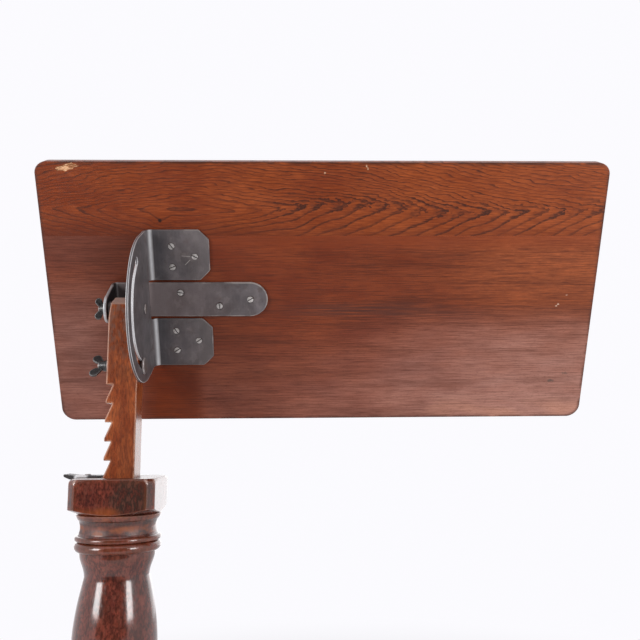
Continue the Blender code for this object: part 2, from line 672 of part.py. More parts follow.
def column_profile():
    """Outer side of the column, from the head's oversized disc down to the foot of the leg sockets."""
    half = HEAD_SIZE / 2
    corner = hypot(half, half - HEAD_CHAMFER)
    slope = HEAD_SHOULDER_DROP / (corner - half)
    oversize = corner + CUT_THROUGH
    top = HEAD_TOP_HEIGHT
    points = [(0, top), (oversize, top), (oversize, top - HEAD_CORNER_HEIGHT + slope * CUT_THROUGH)]
    ring_root = RING_RADIUS - RING_HEIGHT / 2
    points.append((ring_root, top - HEAD_CORNER_HEIGHT - slope * (corner - ring_root)))
    top = points[-1][1]
    points += bead(ring_root, RING_HEIGHT / 2, top, RING_HEIGHT)[1:]
    top -= RING_HEIGHT
    points += swell(ring_root, ring_root, DRUM_RADIUS - ring_root, top, DRUM_HEIGHT, BEAD_STEPS)
    top -= DRUM_HEIGHT
    for height in (UPPER_TORUS_HEIGHT, LOWER_TORUS_HEIGHT):
        points += bead(TORUS_RADIUS - height / 2, height / 2, top, height)
        top -= height
    points += swell(TORUS_RADIUS - LOWER_TORUS_HEIGHT / 2, NECK_RADIUS, 0, top, NECK_HEIGHT, BEAD_STEPS)
    top -= NECK_HEIGHT
    points.append((NECK_RADIUS, top))
    vase_bulge = VASE_RADIUS - (NECK_RADIUS + WAIST_RADIUS) / 2
    points += swell(NECK_RADIUS, WAIST_RADIUS, vase_bulge, top, VASE_HEIGHT, 2 * BEAD_STEPS)
    top -= VASE_HEIGHT
    points.append((WAIST_RADIUS, top))
    points += swell(WAIST_RADIUS, SOCKET_DRUM_RADIUS - SOCKET_DRUM_SHOULDER, 0, top, WAIST_HEIGHT, BEAD_STEPS)
    top -= WAIST_HEIGHT
    shoulder_x = SOCKET_DRUM_RADIUS - SOCKET_DRUM_SHOULDER
    shoulder = arc(shoulder_x, top - SOCKET_DRUM_SHOULDER, SOCKET_DRUM_SHOULDER, pi / 2, 0, BEAD_STEPS)
    return points + shoulder + [(SOCKET_DRUM_RADIUS, COLUMN_BOTTOM_HEIGHT), (0, COLUMN_BOTTOM_HEIGHT)]


def octagon(half, chamfer):
    corner = half - chamfer
    quarter = [(half, -corner), (half, corner)]
    points = []
    for count in range(4):
        turn = Matrix.Rotation(count * pi / 2, 2)
        points += [tuple(turn @ Vector(point)) for point in quarter]
    return points


def make_column(table, finish):
    """The turned column: a chamfered square head and a moulded shaft, hollow for the post."""
    top = HEAD_TOP_HEIGHT
    column = new_part(shaded(turned_mesh("column", column_profile(), COLUMN_SIDES)), "column", finish, table)
    outside = ring(0, 0, HEAD_SIZE, COLUMN_SIDES)
    waste = flat_mesh("head_waste", [outside, octagon(HEAD_SIZE / 2, HEAD_CHAMFER)],
                      top - HEAD_HEIGHT, top + CUT_THROUGH)
    cut(column, new_cutter(waste, "head_waste", table))
    half_x = POST_WIDTH / 2 + MORTISE_GAP
    half_y = POST_DEPTH / 2 + MORTISE_GAP
    mortise = box_mesh("mortise", (-half_x, -half_y, top - MORTISE_LENGTH - CUT_THROUGH),
                       (half_x, half_y, top + CUT_THROUGH))
    cut(column, new_cutter(mortise, "mortise", table))
    bore_bottom = COLUMN_BOTTOM_HEIGHT - CUT_THROUGH
    bore = rod_mesh("column_bore", BORE_RADIUS, [(0, 0)], bore_bottom, top - MORTISE_LENGTH, COLUMN_SIDES)
    cut(column, new_cutter(bore, "column_bore", table))
    pocket = box_mesh("catch_pocket", (catch_step_x() - CATCH_THICKNESS - CATCH_TRAVEL - POCKET_GAP,
                                       -CATCH_WIDTH / 2 - POCKET_GAP, top + tongue_bottom() - POCKET_GAP),
                      (-half_x + POCKET_GAP, CATCH_WIDTH / 2 + POCKET_GAP, top + CUT_THROUGH))
    cut(column, new_cutter(pocket, "catch_pocket", table))
    pilot = rod_mesh("catch_pilot", CATCH_SCREW_RADIUS + RUNNING_GAP, [(catch_screw_x(), 0)],
                     top + catch_top() - CATCH_SCREW_LENGTH, top + CUT_THROUGH, SCREW_SIDES)
    cut(column, new_cutter(pilot, "catch_pilot", table))
    for count, turn in enumerate(LEG_TURNS):
        socket = leg_socket_mesh()
        cut(column, new_cutter(socket, f"leg_socket_{count + 1}", table, turn=(0, 0, turn)))
    for count, place in enumerate(spider_screw_places()[1::2]):
        cut(column, new_cutter(spider_pilot_mesh(place), f"column_pilot_{count + 1}", table))


def catch_step_x():
    """Right side of the catch's step, just clear of the post's teeth."""
    return -POST_WIDTH / 2 - CATCH_STEP_GAP


def catch_top():
    return SEAT_GAP + CATCH_THICKNESS


def tongue_bottom():
    return shelf_height(0) - SEAT_GAP - CATCH_THICKNESS


def catch_screw_x():
    """The guide screw sits midway between the pocket and the head's left face."""
    pocket_left = catch_step_x() - CATCH_THICKNESS - CATCH_TRAVEL - POCKET_GAP
    return (pocket_left - HEAD_SIZE / 2) / 2


def make_catch(catch_axis, finish, finish_screw, table):
    """The sliding catch: a flat plate with a tongue stepped down under a shelf and a lip for the finger."""
    step_right = catch_step_x()
    step_left = step_right - CATCH_THICKNESS
    notch_slope = NOTCH_DEPTH / (NOTCH_PITCH - NOTCH_TIP_FLAT)
    nose = -POST_WIDTH / 2 + NOTCH_DEPTH - notch_slope * (SEAT_GAP + CATCH_THICKNESS) - CATCH_NOSE_GAP
    tongue_top = shelf_height(0) - SEAT_GAP
    lip_x = -HEAD_SIZE / 2 - CATCH_OVERHANG
    low = SEAT_GAP
    high = catch_top()
    outline = [(nose, tongue_bottom()), (nose, tongue_top), (step_right, tongue_top), (step_right, high),
               (lip_x, high), (lip_x - CATCH_LIP_RUN, high + CATCH_LIP_RISE),
               (lip_x - CATCH_LIP_RUN - CATCH_THICKNESS / 2, high + CATCH_LIP_RISE - CATCH_THICKNESS),
               (lip_x - CATCH_THICKNESS / 2, low), (step_left, low), (step_left, tongue_bottom())]
    mesh = flat_mesh("catch_plate", [outline], -CATCH_WIDTH / 2, CATCH_WIDTH / 2)
    mesh.transform(Matrix.Rotation(pi / 2, 4, "X"))
    plate = new_part(mesh, "catch_plate", finish, catch_axis)
    half = CATCH_SCREW_RADIUS + SLOT_GAP
    screw_x = catch_screw_x()
    outline = arc(screw_x, 0, half, pi / 2, 3 * pi / 2, SHAFT_SIDES // 2)
    outline += arc(screw_x + CATCH_TRAVEL, 0, half, -pi / 2, pi / 2, SHAFT_SIDES // 2)
    slot = flat_mesh("catch_slot", [outline], -CUT_THROUGH, CUT_THROUGH)
    cut(plate, new_cutter(slot, "catch_slot", catch_axis))
    profile = dome_profile(CATCH_SCREW_HEAD_RADIUS, CATCH_SCREW_HEAD_HEIGHT, CATCH_SCREW_RADIUS,
                           CATCH_SCREW_LENGTH - SEAT_GAP, BOLT_END_CHAMFER)
    screw = shaded(turned_mesh("catch_screw", profile, SCREW_SIDES))
    place = (screw_x, 0, HEAD_TOP_HEIGHT + catch_top() + SEAT_GAP)
    new_part(screw, "catch_screw", finish_screw, table, place)


def dovetail_outline(gap):
    """The leg's dovetail seen from above, with its neck at the column's flat."""
    inner = LEG_SEAT_RADIUS - DOVETAIL_DEPTH - gap
    neck = DOVETAIL_NECK / 2 + gap
    flare = DOVETAIL_FLARE / 2 + gap
    return [(inner, -flare), (LEG_SEAT_RADIUS + LEG_EDGE_ROUND, -neck),
            (LEG_SEAT_RADIUS + LEG_EDGE_ROUND, neck), (inner, flare)]


def leg_socket_mesh():
    """What is cut from the column for one leg: a flat seat for its shoulders and a dovetail housing."""
    bottom = COLUMN_BOTTOM_HEIGHT - CUT_THROUGH
    half = LEG_THICKNESS / 2 + RUNNING_GAP
    seat = [(LEG_SEAT_RADIUS - SEAT_GAP, -half), (LEG_REACH, -half), (LEG_REACH, half),
            (LEG_SEAT_RADIUS - SEAT_GAP, half)]
    flat = new_cutter(flat_mesh("leg_seat", [seat], bottom, LEG_ROOT_TOP + SEAT_GAP), "leg_seat", None)
    housing = flat_mesh("dovetail_housing", [dovetail_outline(RUNNING_GAP)], bottom,
                        LEG_ROOT_TOP - DOVETAIL_SHOULDER + SEAT_GAP)
    combine(flat, new_cutter(housing, "dovetail_housing", None), "UNION")
    return baked_mesh(flat, "leg_socket")


def leg_outline():
    """Side of one leg in (reach, height): a swept top, a round toe, a flat sole and an arched underside."""
    root_x = LEG_SEAT_RADIUS
    toe_x = LEG_REACH - TOE_ROUND
    heel_x = LEG_REACH - FOOT_LENGTH
    under_x = LEG_ANKLE_REACH + LEG_ANKLE_DEPTH * LEG_ANKLE_SLOPE
    top = [(root_x, LEG_ROOT_TOP, 0), (LEG_KNEE_REACH, LEG_ROOT_TOP - LEG_KNEE_DROP, LEG_KNEE_SLOPE),
           (LEG_ANKLE_REACH, LEG_ANKLE_HEIGHT, LEG_ANKLE_SLOPE), (toe_x, FOOT_HEIGHT, FOOT_SLOPE)]
    under = [(heel_x, 0, HEEL_SLOPE), (under_x, LEG_ANKLE_HEIGHT - LEG_ANKLE_DEPTH, LEG_ANKLE_UNDER_SLOPE),
             (LEG_ARCH_REACH, COLUMN_BOTTOM_HEIGHT - LEG_ARCH_DROP, LEG_ARCH_SLOPE),
             (SPIDER_ARM_REACH + CUT_THROUGH, COLUMN_BOTTOM_HEIGHT, 0)]
    toe_squash = FOOT_HEIGHT / (2 * TOE_ROUND)
    toe = arc(toe_x, FOOT_HEIGHT / 2, TOE_ROUND, pi / 2, -pi / 2, CORNER_STEPS, toe_squash)
    return flowing_line(top) + toe[1:] + flowing_line(under) + [(root_x, COLUMN_BOTTOM_HEIGHT)]


def flowing_line(knots):
    """Points along a smooth line through knots of (reach, height, slope)."""
    points = [knots[0][:2]]
    for (start_x, start_y, start_slope), (end_x, end_y, end_slope) in zip(knots, knots[1:]):
        run = end_x - start_x
        for step in range(1, LEG_CURVE_STEPS + 1):
            share = step / LEG_CURVE_STEPS
            blend = share * share * (3 - 2 * share)
            rise = start_slope * share * (1 - share) ** 2 - end_slope * share * share * (1 - share)
            points.append((start_x + run * share, start_y + (end_y - start_y) * blend + run * rise))
    return points


def leg_mesh():
    side = flat_mesh("leg", [leg_outline()], -LEG_THICKNESS / 2, LEG_THICKNESS / 2)
    side.transform(Matrix.Rotation(pi / 2, 4, "X"))
    leg = new_part(side, "leg", None, None)
    round_edges(leg, LEG_EDGE_ROUND)
    tail_top = LEG_ROOT_TOP - DOVETAIL_SHOULDER
    tail = flat_mesh("dovetail", [dovetail_outline(0)], COLUMN_BOTTOM_HEIGHT, tail_top)
    combine(leg, new_cutter(tail, "dovetail", None), "UNION")
    cut(leg, new_cutter(spider_pilot_mesh((SPIDER_LEG_SCREW_REACH, 0)), "leg_pilot", None))
    return baked_mesh(leg, "leg")


def make_legs(table, finish):
    """Three swept legs, dovetailed into the column from below; the first points under the board."""
    shape = shaded(leg_mesh())
    for count, turn in enumerate(LEG_TURNS):
        new_part(shape, f"leg_{count + 1}", finish, table, turn=(0, 0, turn))


def spider_pilot_mesh(place):
    """The hole for one of the spider plate's screws, up from the underside of the base."""
    depth = SCREW_LENGTH - SPIDER_THICKNESS
    return screw_holes_mesh([place], COLUMN_BOTTOM_HEIGHT - CUT_THROUGH, COLUMN_BOTTOM_HEIGHT + depth)


def spider_screw_places():
    """One screw in each leg and one in the column between each pair of legs, in turn."""
    places = []
    for turn in LEG_TURNS:
        aside = turn + pi / LEG_COUNT
        places.append((SPIDER_LEG_SCREW_REACH * cos(turn), SPIDER_LEG_SCREW_REACH * sin(turn)))
        places.append((SPIDER_COLUMN_SCREW_REACH * cos(aside), SPIDER_COLUMN_SCREW_REACH * sin(aside)))
    return places


def make_spider(table, finish, finish_screw, screw):
    """The three-armed iron plate that ties the legs to the column from below, and its screws."""
    outline = []
    half_width = SPIDER_ARM_WIDTH / 2
    half_turn = half_width / SPIDER_RADIUS
    for turn in LEG_TURNS:
        facing = Matrix.Rotation(turn, 2)
        arm = arc(SPIDER_ARM_REACH - half_width, 0, half_width, -pi / 2, pi / 2, CORNER_STEPS)
        outline += [tuple(facing @ Vector(point)) for point in arm]
        next_arm = turn + 2 * pi / LEG_COUNT
        outline += arc(0, 0, SPIDER_RADIUS, turn + half_turn, next_arm - half_turn, CORNER_STEPS)
    plate = flat_mesh("spider_plate", [outline], 0, SPIDER_THICKNESS)
    top = COLUMN_BOTTOM_HEIGHT - SEAT_GAP
    turned_over = (pi, 0, 0)
    spider = new_part(plate, "spider_plate", finish, table, (0, 0, top), turned_over)
    drill_sheet(spider, "spider", [(x, -y) for x, y in spider_screw_places()], SPIDER_THICKNESS)
    for count, (x, y) in enumerate(spider_screw_places()):
        place = (x, y, top - SPIDER_THICKNESS)
        new_part(screw, f"spider_screw_{count + 1}", finish_screw, table, place, turned_over)


def stand_on_origin(table):
    """Moves the whole table so that the middle of its box stands over the origin."""
    bpy.context.view_layer.update()
    graph = bpy.context.evaluated_depsgraph_get()
    corners = []
    for piece in parts.objects:
        if piece.type == "MESH":
            solid = piece.evaluated_get(graph)
            corners += [solid.matrix_world @ vert.co for vert in solid.data.vertices]
    for axis in (0, 1):
        values = [corner[axis] for corner in corners]
        table.location[axis] = -(min(values) + max(values)) / 2
    bpy.context.view_layer.update()
    print("column axis stands at", [round(value, 6) for value in table.location])


def build():
    board_wood = (0.185, 0.052, 0.024)
    figured_wood = (0.245, 0.066, 0.024)
    post_wood = (0.270, 0.080, 0.028)
    column_wood = (0.095, 0.022, 0.012)
    leg_wood = (0.088, 0.021, 0.012)
    iron = (0.105, 0.108, 0.115)
    worn_iron = (0.300, 0.290, 0.280)
    black_iron = (0.030, 0.032, 0.033)

    table = new_empty("table", None)
    make_column(table, new_finish("column wood", column_wood, 0.28, 0))
    make_legs(table, new_finish("leg wood", leg_wood, 0.3, 0))
    screw = screw_mesh()
    screw_steel = new_finish("worn screw steel", worn_iron, 0.35, 1)
    make_spider(table, new_finish("spider iron", iron, 0.5, 1), screw_steel, screw)
    catch_axis = new_empty("catch_axis", table, (0, 0, HEAD_TOP_HEIGHT))
    make_catch(catch_axis, new_finish("catch iron", iron, 0.45, 1), screw_steel, table)

    post_axis = new_empty("post_axis", table, (0, 0, HEAD_TOP_HEIGHT))
    make_post(post_axis, new_finish("post wood", post_wood, 0.42, 0))
    bolt_steel = new_finish("bolt steel", worn_iron, 0.4, 1)
    nut_iron = new_finish("black nut iron", black_iron, 0.45, 1)
    make_pivot(post_axis, bolt_steel, nut_iron)
    make_clamp(post_axis, bolt_steel, nut_iron)

    tilt_axis = new_empty("tilt_axis", post_axis, (0, 0, PIVOT_ABOVE_HEAD), (-BOARD_TILT, 0, 0))
    underside = new_empty("underside", tilt_axis, (0, 0, PIVOT_TO_BOARD), (pi, 0, 0))
    screw_places = ((QUADRANT_THICKNESS, tab_screw_places()), (STRAP_THICKNESS, strap_screw_places()))
    make_planks(underside, new_finish("figured board wood", figured_wood, 0.34, 0),
                new_finish("plain board wood", board_wood, 0.36, 0), screw_places)
    make_quadrant(underside, new_finish("quadrant iron", iron, 0.42, 1))
    make_strap(underside, new_finish("strap iron", iron, 0.46, 1))
    make_bracket_screws(underside, screw_steel, screw)
    stand_on_origin(table)


clear_scene()
parts = new_collection("tilt_top_reading_table")
cutters = new_collection("cutters")
build()
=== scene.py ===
"""Looks of a tilt-top reading table.

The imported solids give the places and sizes. Each piece here is a finer copy of one of them, or of a set that
repeats, with softened edges, wear and a finish of its own, and keeps to it within about three millimetres.
Lengths are in metres. Grain, scratches and marks are laid out in millimetres.
"""

import json
from math import cos, exp, hypot, pi, radians, sin, sqrt

import bmesh
import bpy
from mathutils import Matrix, Vector, noise


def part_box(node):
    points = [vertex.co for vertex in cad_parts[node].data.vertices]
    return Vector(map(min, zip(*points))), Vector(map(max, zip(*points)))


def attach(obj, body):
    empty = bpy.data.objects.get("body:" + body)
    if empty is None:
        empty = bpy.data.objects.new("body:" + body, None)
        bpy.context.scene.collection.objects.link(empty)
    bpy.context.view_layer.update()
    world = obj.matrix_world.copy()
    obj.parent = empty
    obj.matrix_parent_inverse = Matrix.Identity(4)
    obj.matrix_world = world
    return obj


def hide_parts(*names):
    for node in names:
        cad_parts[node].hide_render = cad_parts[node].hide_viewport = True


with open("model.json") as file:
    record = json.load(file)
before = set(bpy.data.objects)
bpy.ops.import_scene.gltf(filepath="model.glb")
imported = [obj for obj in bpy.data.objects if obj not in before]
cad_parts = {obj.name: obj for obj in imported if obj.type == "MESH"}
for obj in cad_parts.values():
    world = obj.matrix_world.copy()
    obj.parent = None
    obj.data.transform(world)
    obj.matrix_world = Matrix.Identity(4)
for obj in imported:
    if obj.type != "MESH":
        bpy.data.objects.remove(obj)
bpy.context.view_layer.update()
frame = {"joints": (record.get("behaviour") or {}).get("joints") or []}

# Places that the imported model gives
JOINTS = {joint["name"]: joint for joint in frame["joints"]}
PIVOT = Vector(JOINTS["board_tilt"]["pos_m"])
PIVOT_NUT_SEAT = Vector(JOINTS["pivot_nut_turn"]["pos_m"])
CLAMP_NUT_SEAT = Vector(JOINTS["clamp_nut_turn"]["pos_m"])
HEAD_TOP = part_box("column")[1].z
COLUMN_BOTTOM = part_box("column")[0].z

# Board; an edge is (rounding, width of the worn band beside it)
BOARD_TILT = radians(62)
PIVOT_TO_BOARD = 0.0443
BOARD_LEFT = -0.117
BOARD_RIGHT = 0.645
BOARD_BOTTOM = -0.1856
BOARD_TOP = 0.1878
BOARD_THICKNESS = 0.019
BOARD_CORNER_RADIUS = 0.019
BOARD_UPPER_CORNER_RADIUS = 0.016
BOARD_EDGE = (0.0011, 0.004)
BOARD_GRID = 0.03
BOARD_WARP = 0.0003
BOARD_WARP_LENGTHS = (0.22, 0.12)
BOARD_WARP_SEED = 4.2
PLANK_JOINT = 0.0889
JOINT_GAP = 0.00008
CHIP_PLACE = (-0.0752, 0.180, 0)
CHIP_TURN = radians(13)
CHIP_LENGTH = 0.0140
CHIP_WIDTH = 0.0040
CHIP_DEPTH = 0.0016

# Quadrant, strap and their screws; a wander is (height, length, seed)
SEAT_GAP = 0.0003
SHEET_PIVOT = PIVOT_TO_BOARD - SEAT_GAP
SHEET_GRID = 0.007
FOLD_STEPS = 14
# Place and width of the painted highlight along a bend, as shares of the bend's length
BEND_HIGHLIGHT_PLACE = 0.25
BEND_HIGHLIGHT_WIDTH = 0.28
QUADRANT_RADIUS = 0.098
QUADRANT_THICKNESS = 0.0032
QUADRANT_FOLD_RADIUS = 0.009
QUADRANT_EDGE = (0.0005, 0.0009)
QUADRANT_CORNER_ROUND = 0.0022
QUADRANT_WANDER = (0.00022, 0.035, 3.1)
FLANGE_OUTER_X = 0.0232
TAB_REACH = 0.107
TAB_CHAMFER = 0.0135
TAB_GAP = 0.056
TAB_NOTCH_TURN = radians(70)
SLOT_RADIUS = 0.076
SLOT_HALF_WIDTH = 0.0055
TILT_LIMIT = radians(70)
STRAP_WIDTH = 0.049
STRAP_REACH = 0.185
STRAP_THICKNESS = 0.004
STRAP_FOLD_RADIUS = 0.004
STRAP_EDGE = (0.0009, 0.0014)
STRAP_CORNER_ROUND = 0.0015
STRAP_WANDER = (0.00025, 0.03, 5.3)
EAR_INNER_X = -0.0233
EAR_RADIUS = 0.019
PIVOT_HOLE_RADIUS = 0.0035
SCREW_HEAD_RADIUS = 0.00465
SCREW_SHANK_RADIUS = 0.0022
SCREW_LENGTH = 0.0165
SCREW_DOME = 0.0005
SCREW_SLOT_WIDTH = 0.0013
SCREW_SLOT_DEPTH = 0.0012
SCREW_SOILED_RIM = 0.2
SCREW_TOP_DEPTH = 0.0003
SCREW_GAP = 0.00015
UNRUBBED_RADIUS = 0.008
TAB_SCREWS = [(0.056, 0.0753), (0.056, 0.0463), (0.087, 0.0608),
              (0.056, -0.0753), (0.056, -0.0463), (0.087, -0.0608)]
STRAP_SCREWS = [(0.161, 0.0), (0.118, -0.0095), (0.065, 0.010)]

# Post; its wear under the ear is (depth, height from the pivot)
POST_WIDTH = 0.0394
POST_DEPTH = 0.038
POST_TAIL = 0.340
POST_TOP = 0.2329
POST_TOP_CHAMFER = 0.010
POST_TOP_WEAR = 0.0052
POST_EAR_WEAR = [(0.0028, 0.006), (0.0008, -0.007), (0, -0.016)]
POST_EDGE = (0.0011, 0.0016)
POST_CORNER_ROUND = 0.0013
POST_DEPTH_GRID = 0.0035
POST_HEIGHT_GRID = 0.006
POST_GRID_BOTTOM = -0.05
POST_WANDER = (0.00025, 0.03, 7.7)
NOTCH_PITCH = 0.0241
NOTCH_DEPTH = 0.0086
NOTCH_TIP_FLAT = 0.004
SHELF_BELOW_HEAD_TOP = 0.0028
HIGHEST_SHELF = 5
LOWEST_SHELF = -8

# Bolts as (radius, head radius, head height), discs as (radius, hole radius, thickness) and nuts as
# (height, span, lobe radius, hub radius, hub height). A bolt's crown and side are shares of its head's
# height, and its rim's points are (distance in, height). A wander here is (height, length): its seed comes
# from the piece's own size.
PIVOT_BOLT = (0.0032, 0.0065, 0.0025)
CLAMP_BOLT = (0.005, 0.011, 0.0045)
BOLT_CROWN = 0.65
BOLT_SIDE = 0.25
BOLT_RIM = [(0.0002, 0.0002), (0.0006, 0)]
BOLT_TIP_CHAMFER = 0.0009
BOLT_WANDER = (0.00008, 0.004)
BOLT_RIDGE = 0.25
PIVOT_SPACER = (0.0105, PIVOT_HOLE_RADIUS, 0.003)
CLAMP_WASHER = (0.0115, CLAMP_BOLT[0] + SEAT_GAP, 0.002)
DISC_EDGE = (0.0004, 0.0008)
PIVOT_NUT = (0.015, 0.029, 0.0049, 0.0062, 0.0093)
CLAMP_NUT = (0.0225, 0.037, 0.0062, 0.0078, 0.0118)
CLAMP_NUT_TURN = radians(38)
NUT_BORE_GAP = 0.0003
NUT_HUB_TAPER = 0.0018
NUT_FOOT = 0.002
NUT_RIM = 0.0006
NUT_SADDLE = 0.0015
NUT_WANDER = (0.0001, 0.003)
NUT_RIDGE = 0.12
WING_HALF_THICKNESS = 0.0015
WING_EDGE = (0.0008, 0.0004)
CASTING_GRAIN = 0.00032
THREAD_PITCH = 0.0011
THREAD_DEPTH = 0.0004
THREADED_SHARE = 0.45

# Column. The ring's section is (distance in from its radius, distance down), and the mouth's is (widening,
# depth). The head's wear starts at a number of times its half size from the axis.
HEAD_SIZE = 0.106
HEAD_CHAMFER = 0.0088
HEAD_CORNER_HEIGHT = 0.0366
HEAD_SHOULDER_DROP = 0.0063
HEAD_EDGE_ROUND = 0.0022
HEAD_EDGE_STEPS = 6
HEAD_CORNER_WEAR = 0.0036
HEAD_WEAR_START = 1.12
HEAD_CORNER_BLEND = 0.0016
HEAD_TOP_FLAT = 0.006
HEAD_DROPS = (0.008, 0.014, 0.020, 0.026, 0.032)
SHOULDER_BLEND = 0.0012
SHOULDER_ROWS = 24
SHOULDER_START = 0.0022
MORTISE_LENGTH = 0.060
MORTISE_GAP = 0.0004
MORTISE_MOUTH = [(0, MORTISE_LENGTH), (0, 0.004), (0, 0.0008), (0.0003, 0.0002), (0.001, 0)]
BORE_RADIUS = 0.02897
BORE_CHAMFER = 0.001
RING_RADIUS = 0.0528
RING_HEIGHT = 0.007
RING_ROOT_STEP = 0.0008
RING_SECTION = [(0.0009, 0.0001), (0.0003, 0.0004), (0, 0.001), (0.0006, 0.003), (0.0014, 0.0048),
                (0.0020, 0.0056), (0.0023, 0.0062), (0.0028, 0.0066)]
DRUM_RADIUS = 0.047
DRUM_HEIGHT = 0.019
TORUS_RADIUS = 0.0535
TORUS_HEIGHTS = (0.007, 0.013)
NECK_RADIUS = 0.040
NECK_HEIGHT = 0.030
VASE_RADIUS = 0.052
VASE_HEIGHT = 0.160
WAIST_RADIUS = 0.042
WAIST_HEIGHT = 0.022
SOCKET_DRUM_RADIUS = 0.058
SOCKET_DRUM_SHOULDER = 0.008
SOCKET_DRUM_RIM = 0.0015
COLUMN_SIDES = 256
COLUMN_RIDGE = 0.1
# The mortise lies off the middle of the column, so the column's outside stands to the left of the post's axis
COLUMN_SHIFT = -0.002

# Catch and its screw. The lip's points are given from the top of its end, and from the place where it leaves
# the plate. The screw is (radius, head radius, head height, length), and its slot (reach, half width, height
# of the slot's floor).
CATCH_WIDTH = 0.024
CATCH_THICKNESS = 0.0024
CATCH_TRAVEL = 0.0085
CATCH_STEP_X = -0.021
CATCH_NOSE_X = -0.0130558
CATCH_SCREW_X = -0.04325
CATCH_TONGUE_TOP = -0.0031
CATCH_LIP_X = -0.0615
CATCH_LIP_RUN = 0.0085
CATCH_LIP_RISE = 0.0020
CATCH_LIP_BLEND = 0.011
CATCH_LIP_END = [(0, 0), (-0.0012, -0.0008), (-0.0004, -0.0034)]
CATCH_LIP_BELLY = [(-0.002, -0.0020), (0.0035, -0.0030), (0.0062, -0.0026), (0.0072, 0)]
CATCH_EDGE = (0.0005, 0.0004)
CATCH_CORNER_ROUND = 0.0007
CATCH_SLOT_HALF_WIDTH = 0.0025
CATCH_POCKET_GAP = 0.0006
CATCH_SCREW = (0.002, 0.0042, 0.0014, 0.0177)
CATCH_SCREW_SLOT = (0.01, 0.0005, 0.0007)

# Legs and the plate under them; a leg's lines go through (reach, height, slope)
LEG_COUNT = 3
LEG_REACH = 0.300
LEG_THICKNESS = 0.034
LEG_ROOT_X = 0.048
LEG_ROOT_TOP = COLUMN_BOTTOM + 0.108
LEG_EDGE = (0.005, 0.001)
LEG_CORNER_ROUND = 0.002
LEG_GRID = 0.012
LEG_LINE_STEPS = 20
TOE_RADIUS = 0.008
FOOT_HEIGHT = 0.019
LEG_TOP_LINE = [(0.0555, LEG_ROOT_TOP, 0), (0.135, LEG_ROOT_TOP - 0.032, -0.95), (0.238, 0.057, -0.70),
                (LEG_REACH - TOE_RADIUS, FOOT_HEIGHT, -0.30)]
LEG_UNDER_LINE = [(0.250, 0, -1.2), (0.217, 0.027, -0.80), (0.155, COLUMN_BOTTOM - 0.011, -0.50),
                  (0.097, COLUMN_BOTTOM, 0)]
SPIDER_RADIUS = 0.052
SPIDER_ARM_REACH = 0.092
SPIDER_ARM_WIDTH = 0.026
SPIDER_THICKNESS = 0.0025
SPIDER_EDGE = (0.0005, 0.001)
SPIDER_CORNER_ROUND = 0.003
SPIDER_LEG_SCREW_REACH = 0.080
SPIDER_COLUMN_SCREW_REACH = 0.043

# Studio
PALE = (0.968, 0.962, 0.995)
FILL_STRENGTH = 0.42
FLOOR_RADIUS = 9
FLOOR_FADE = (0.6, 1.6)
SOFTBOX_PLACES = {"left softbox": (-1.75, -1.45, 1.05), "right softbox": (1.75, -1.45, 1.05)}
SOFTBOX_AIM = (0, 0, 0.65)
SOFTBOX_SIZE = (0.75, 1.05)
SOFTBOX_POWER = 32.5
BACKDROP_LIGHT_PLACE = (0.1, 2.4, 0.85)
BACKDROP_LIGHT_AIM = (0.1, 0, 0.75)
BACKDROP_LIGHT_SIZE = (3.6, 2.2)
BACKDROP_LIGHT_POWER = 28
FLAGS = {"low flag": [(-1.6, -3.2, 0.004), (1.2, -3.2, 0.004), (0.9, -0.78, 0.004), (-0.9, -0.78, 0.004)],
         "back flag": [(-3, -3.2, 0), (3, -3.2, 0), (3, -3.2, 3.4), (-3, -3.2, 3.4)]}
CAMERA_PLACE = (-0.01356, -0.9785, 0.5895)
CAMERA_YAW = radians(-1.738)
CAMERA_PITCH = radians(8.937)
CAMERA_ROLL = radians(-0.473)
CAMERA_LENS = 41.65
CAMERA_SENSOR = 36

SHARP_ANGLE = radians(38)
# How far a cutter reaches past what it cuts, and its own edge
CUT_PAST = 0.005
CUTTER_EDGE = (0.0001, 0.0001)

# Frames: the board's underside (x along it, y up it, z out towards the camera), the post and the column
UNDERSIDE = (Matrix.Translation(PIVOT) @ Matrix.Rotation(-BOARD_TILT, 4, "X")
             @ Matrix.Translation((0, 0, PIVOT_TO_BOARD)) @ Matrix.Rotation(pi, 4, "X"))
SHEET_PLACE = UNDERSIDE @ Matrix.Translation((0, 0, SEAT_GAP))
POST_PLACE = Matrix.Translation((PIVOT.x, PIVOT.y, HEAD_TOP))
COLUMN_PLACE = Matrix.Translation((PIVOT.x, PIVOT.y, 0))
TO_THE_LEFT = Matrix.Rotation(-pi / 2, 4, "Y")
TO_THE_RIGHT = Matrix.Rotation(pi / 2, 4, "Y")
UPRIGHT = Matrix.Rotation(pi / 2, 4, "X")
TURNED_OVER = Matrix.Rotation(pi, 4, "X")
SPIDER_PLACE = COLUMN_PLACE @ Matrix.Translation((0, 0, COLUMN_BOTTOM - SEAT_GAP)) @ TURNED_OVER


# Outlines

def arc(centre_x, centre_y, radius, start, end, steps, squash=1):
    """Points along an arc; squash flattens it in y."""
    turns = [start + (end - start) * step / steps for step in range(steps + 1)]
    return [(centre_x + radius * cos(turn), centre_y + squash * radius * sin(turn)) for turn in turns]


def ring(centre_x, centre_y, radius, sides=48):
    return arc(centre_x, centre_y, radius, 0, 2 * pi, sides)[:-1]


def soften(points, radius, steps=4):
    """The same closed outline with its sharp corners rounded off."""
    softened = []
    for index, point in enumerate(points):
        here = Vector(point)
        before = Vector(points[index - 1]) - here
        after = Vector(points[(index + 1) % len(points)]) - here
        if before.angle(after) > radians(160):
            softened.append(point)
            continue
        start = here + before.normalized() * min(radius, before.length * 0.45)
        end = here + after.normalized() * min(radius, after.length * 0.45)
        for step in range(steps + 1):
            share = step / steps
            bend = start * (1 - share) ** 2 + here * 2 * share * (1 - share) + end * share ** 2
            softened.append(tuple(bend))
    return softened


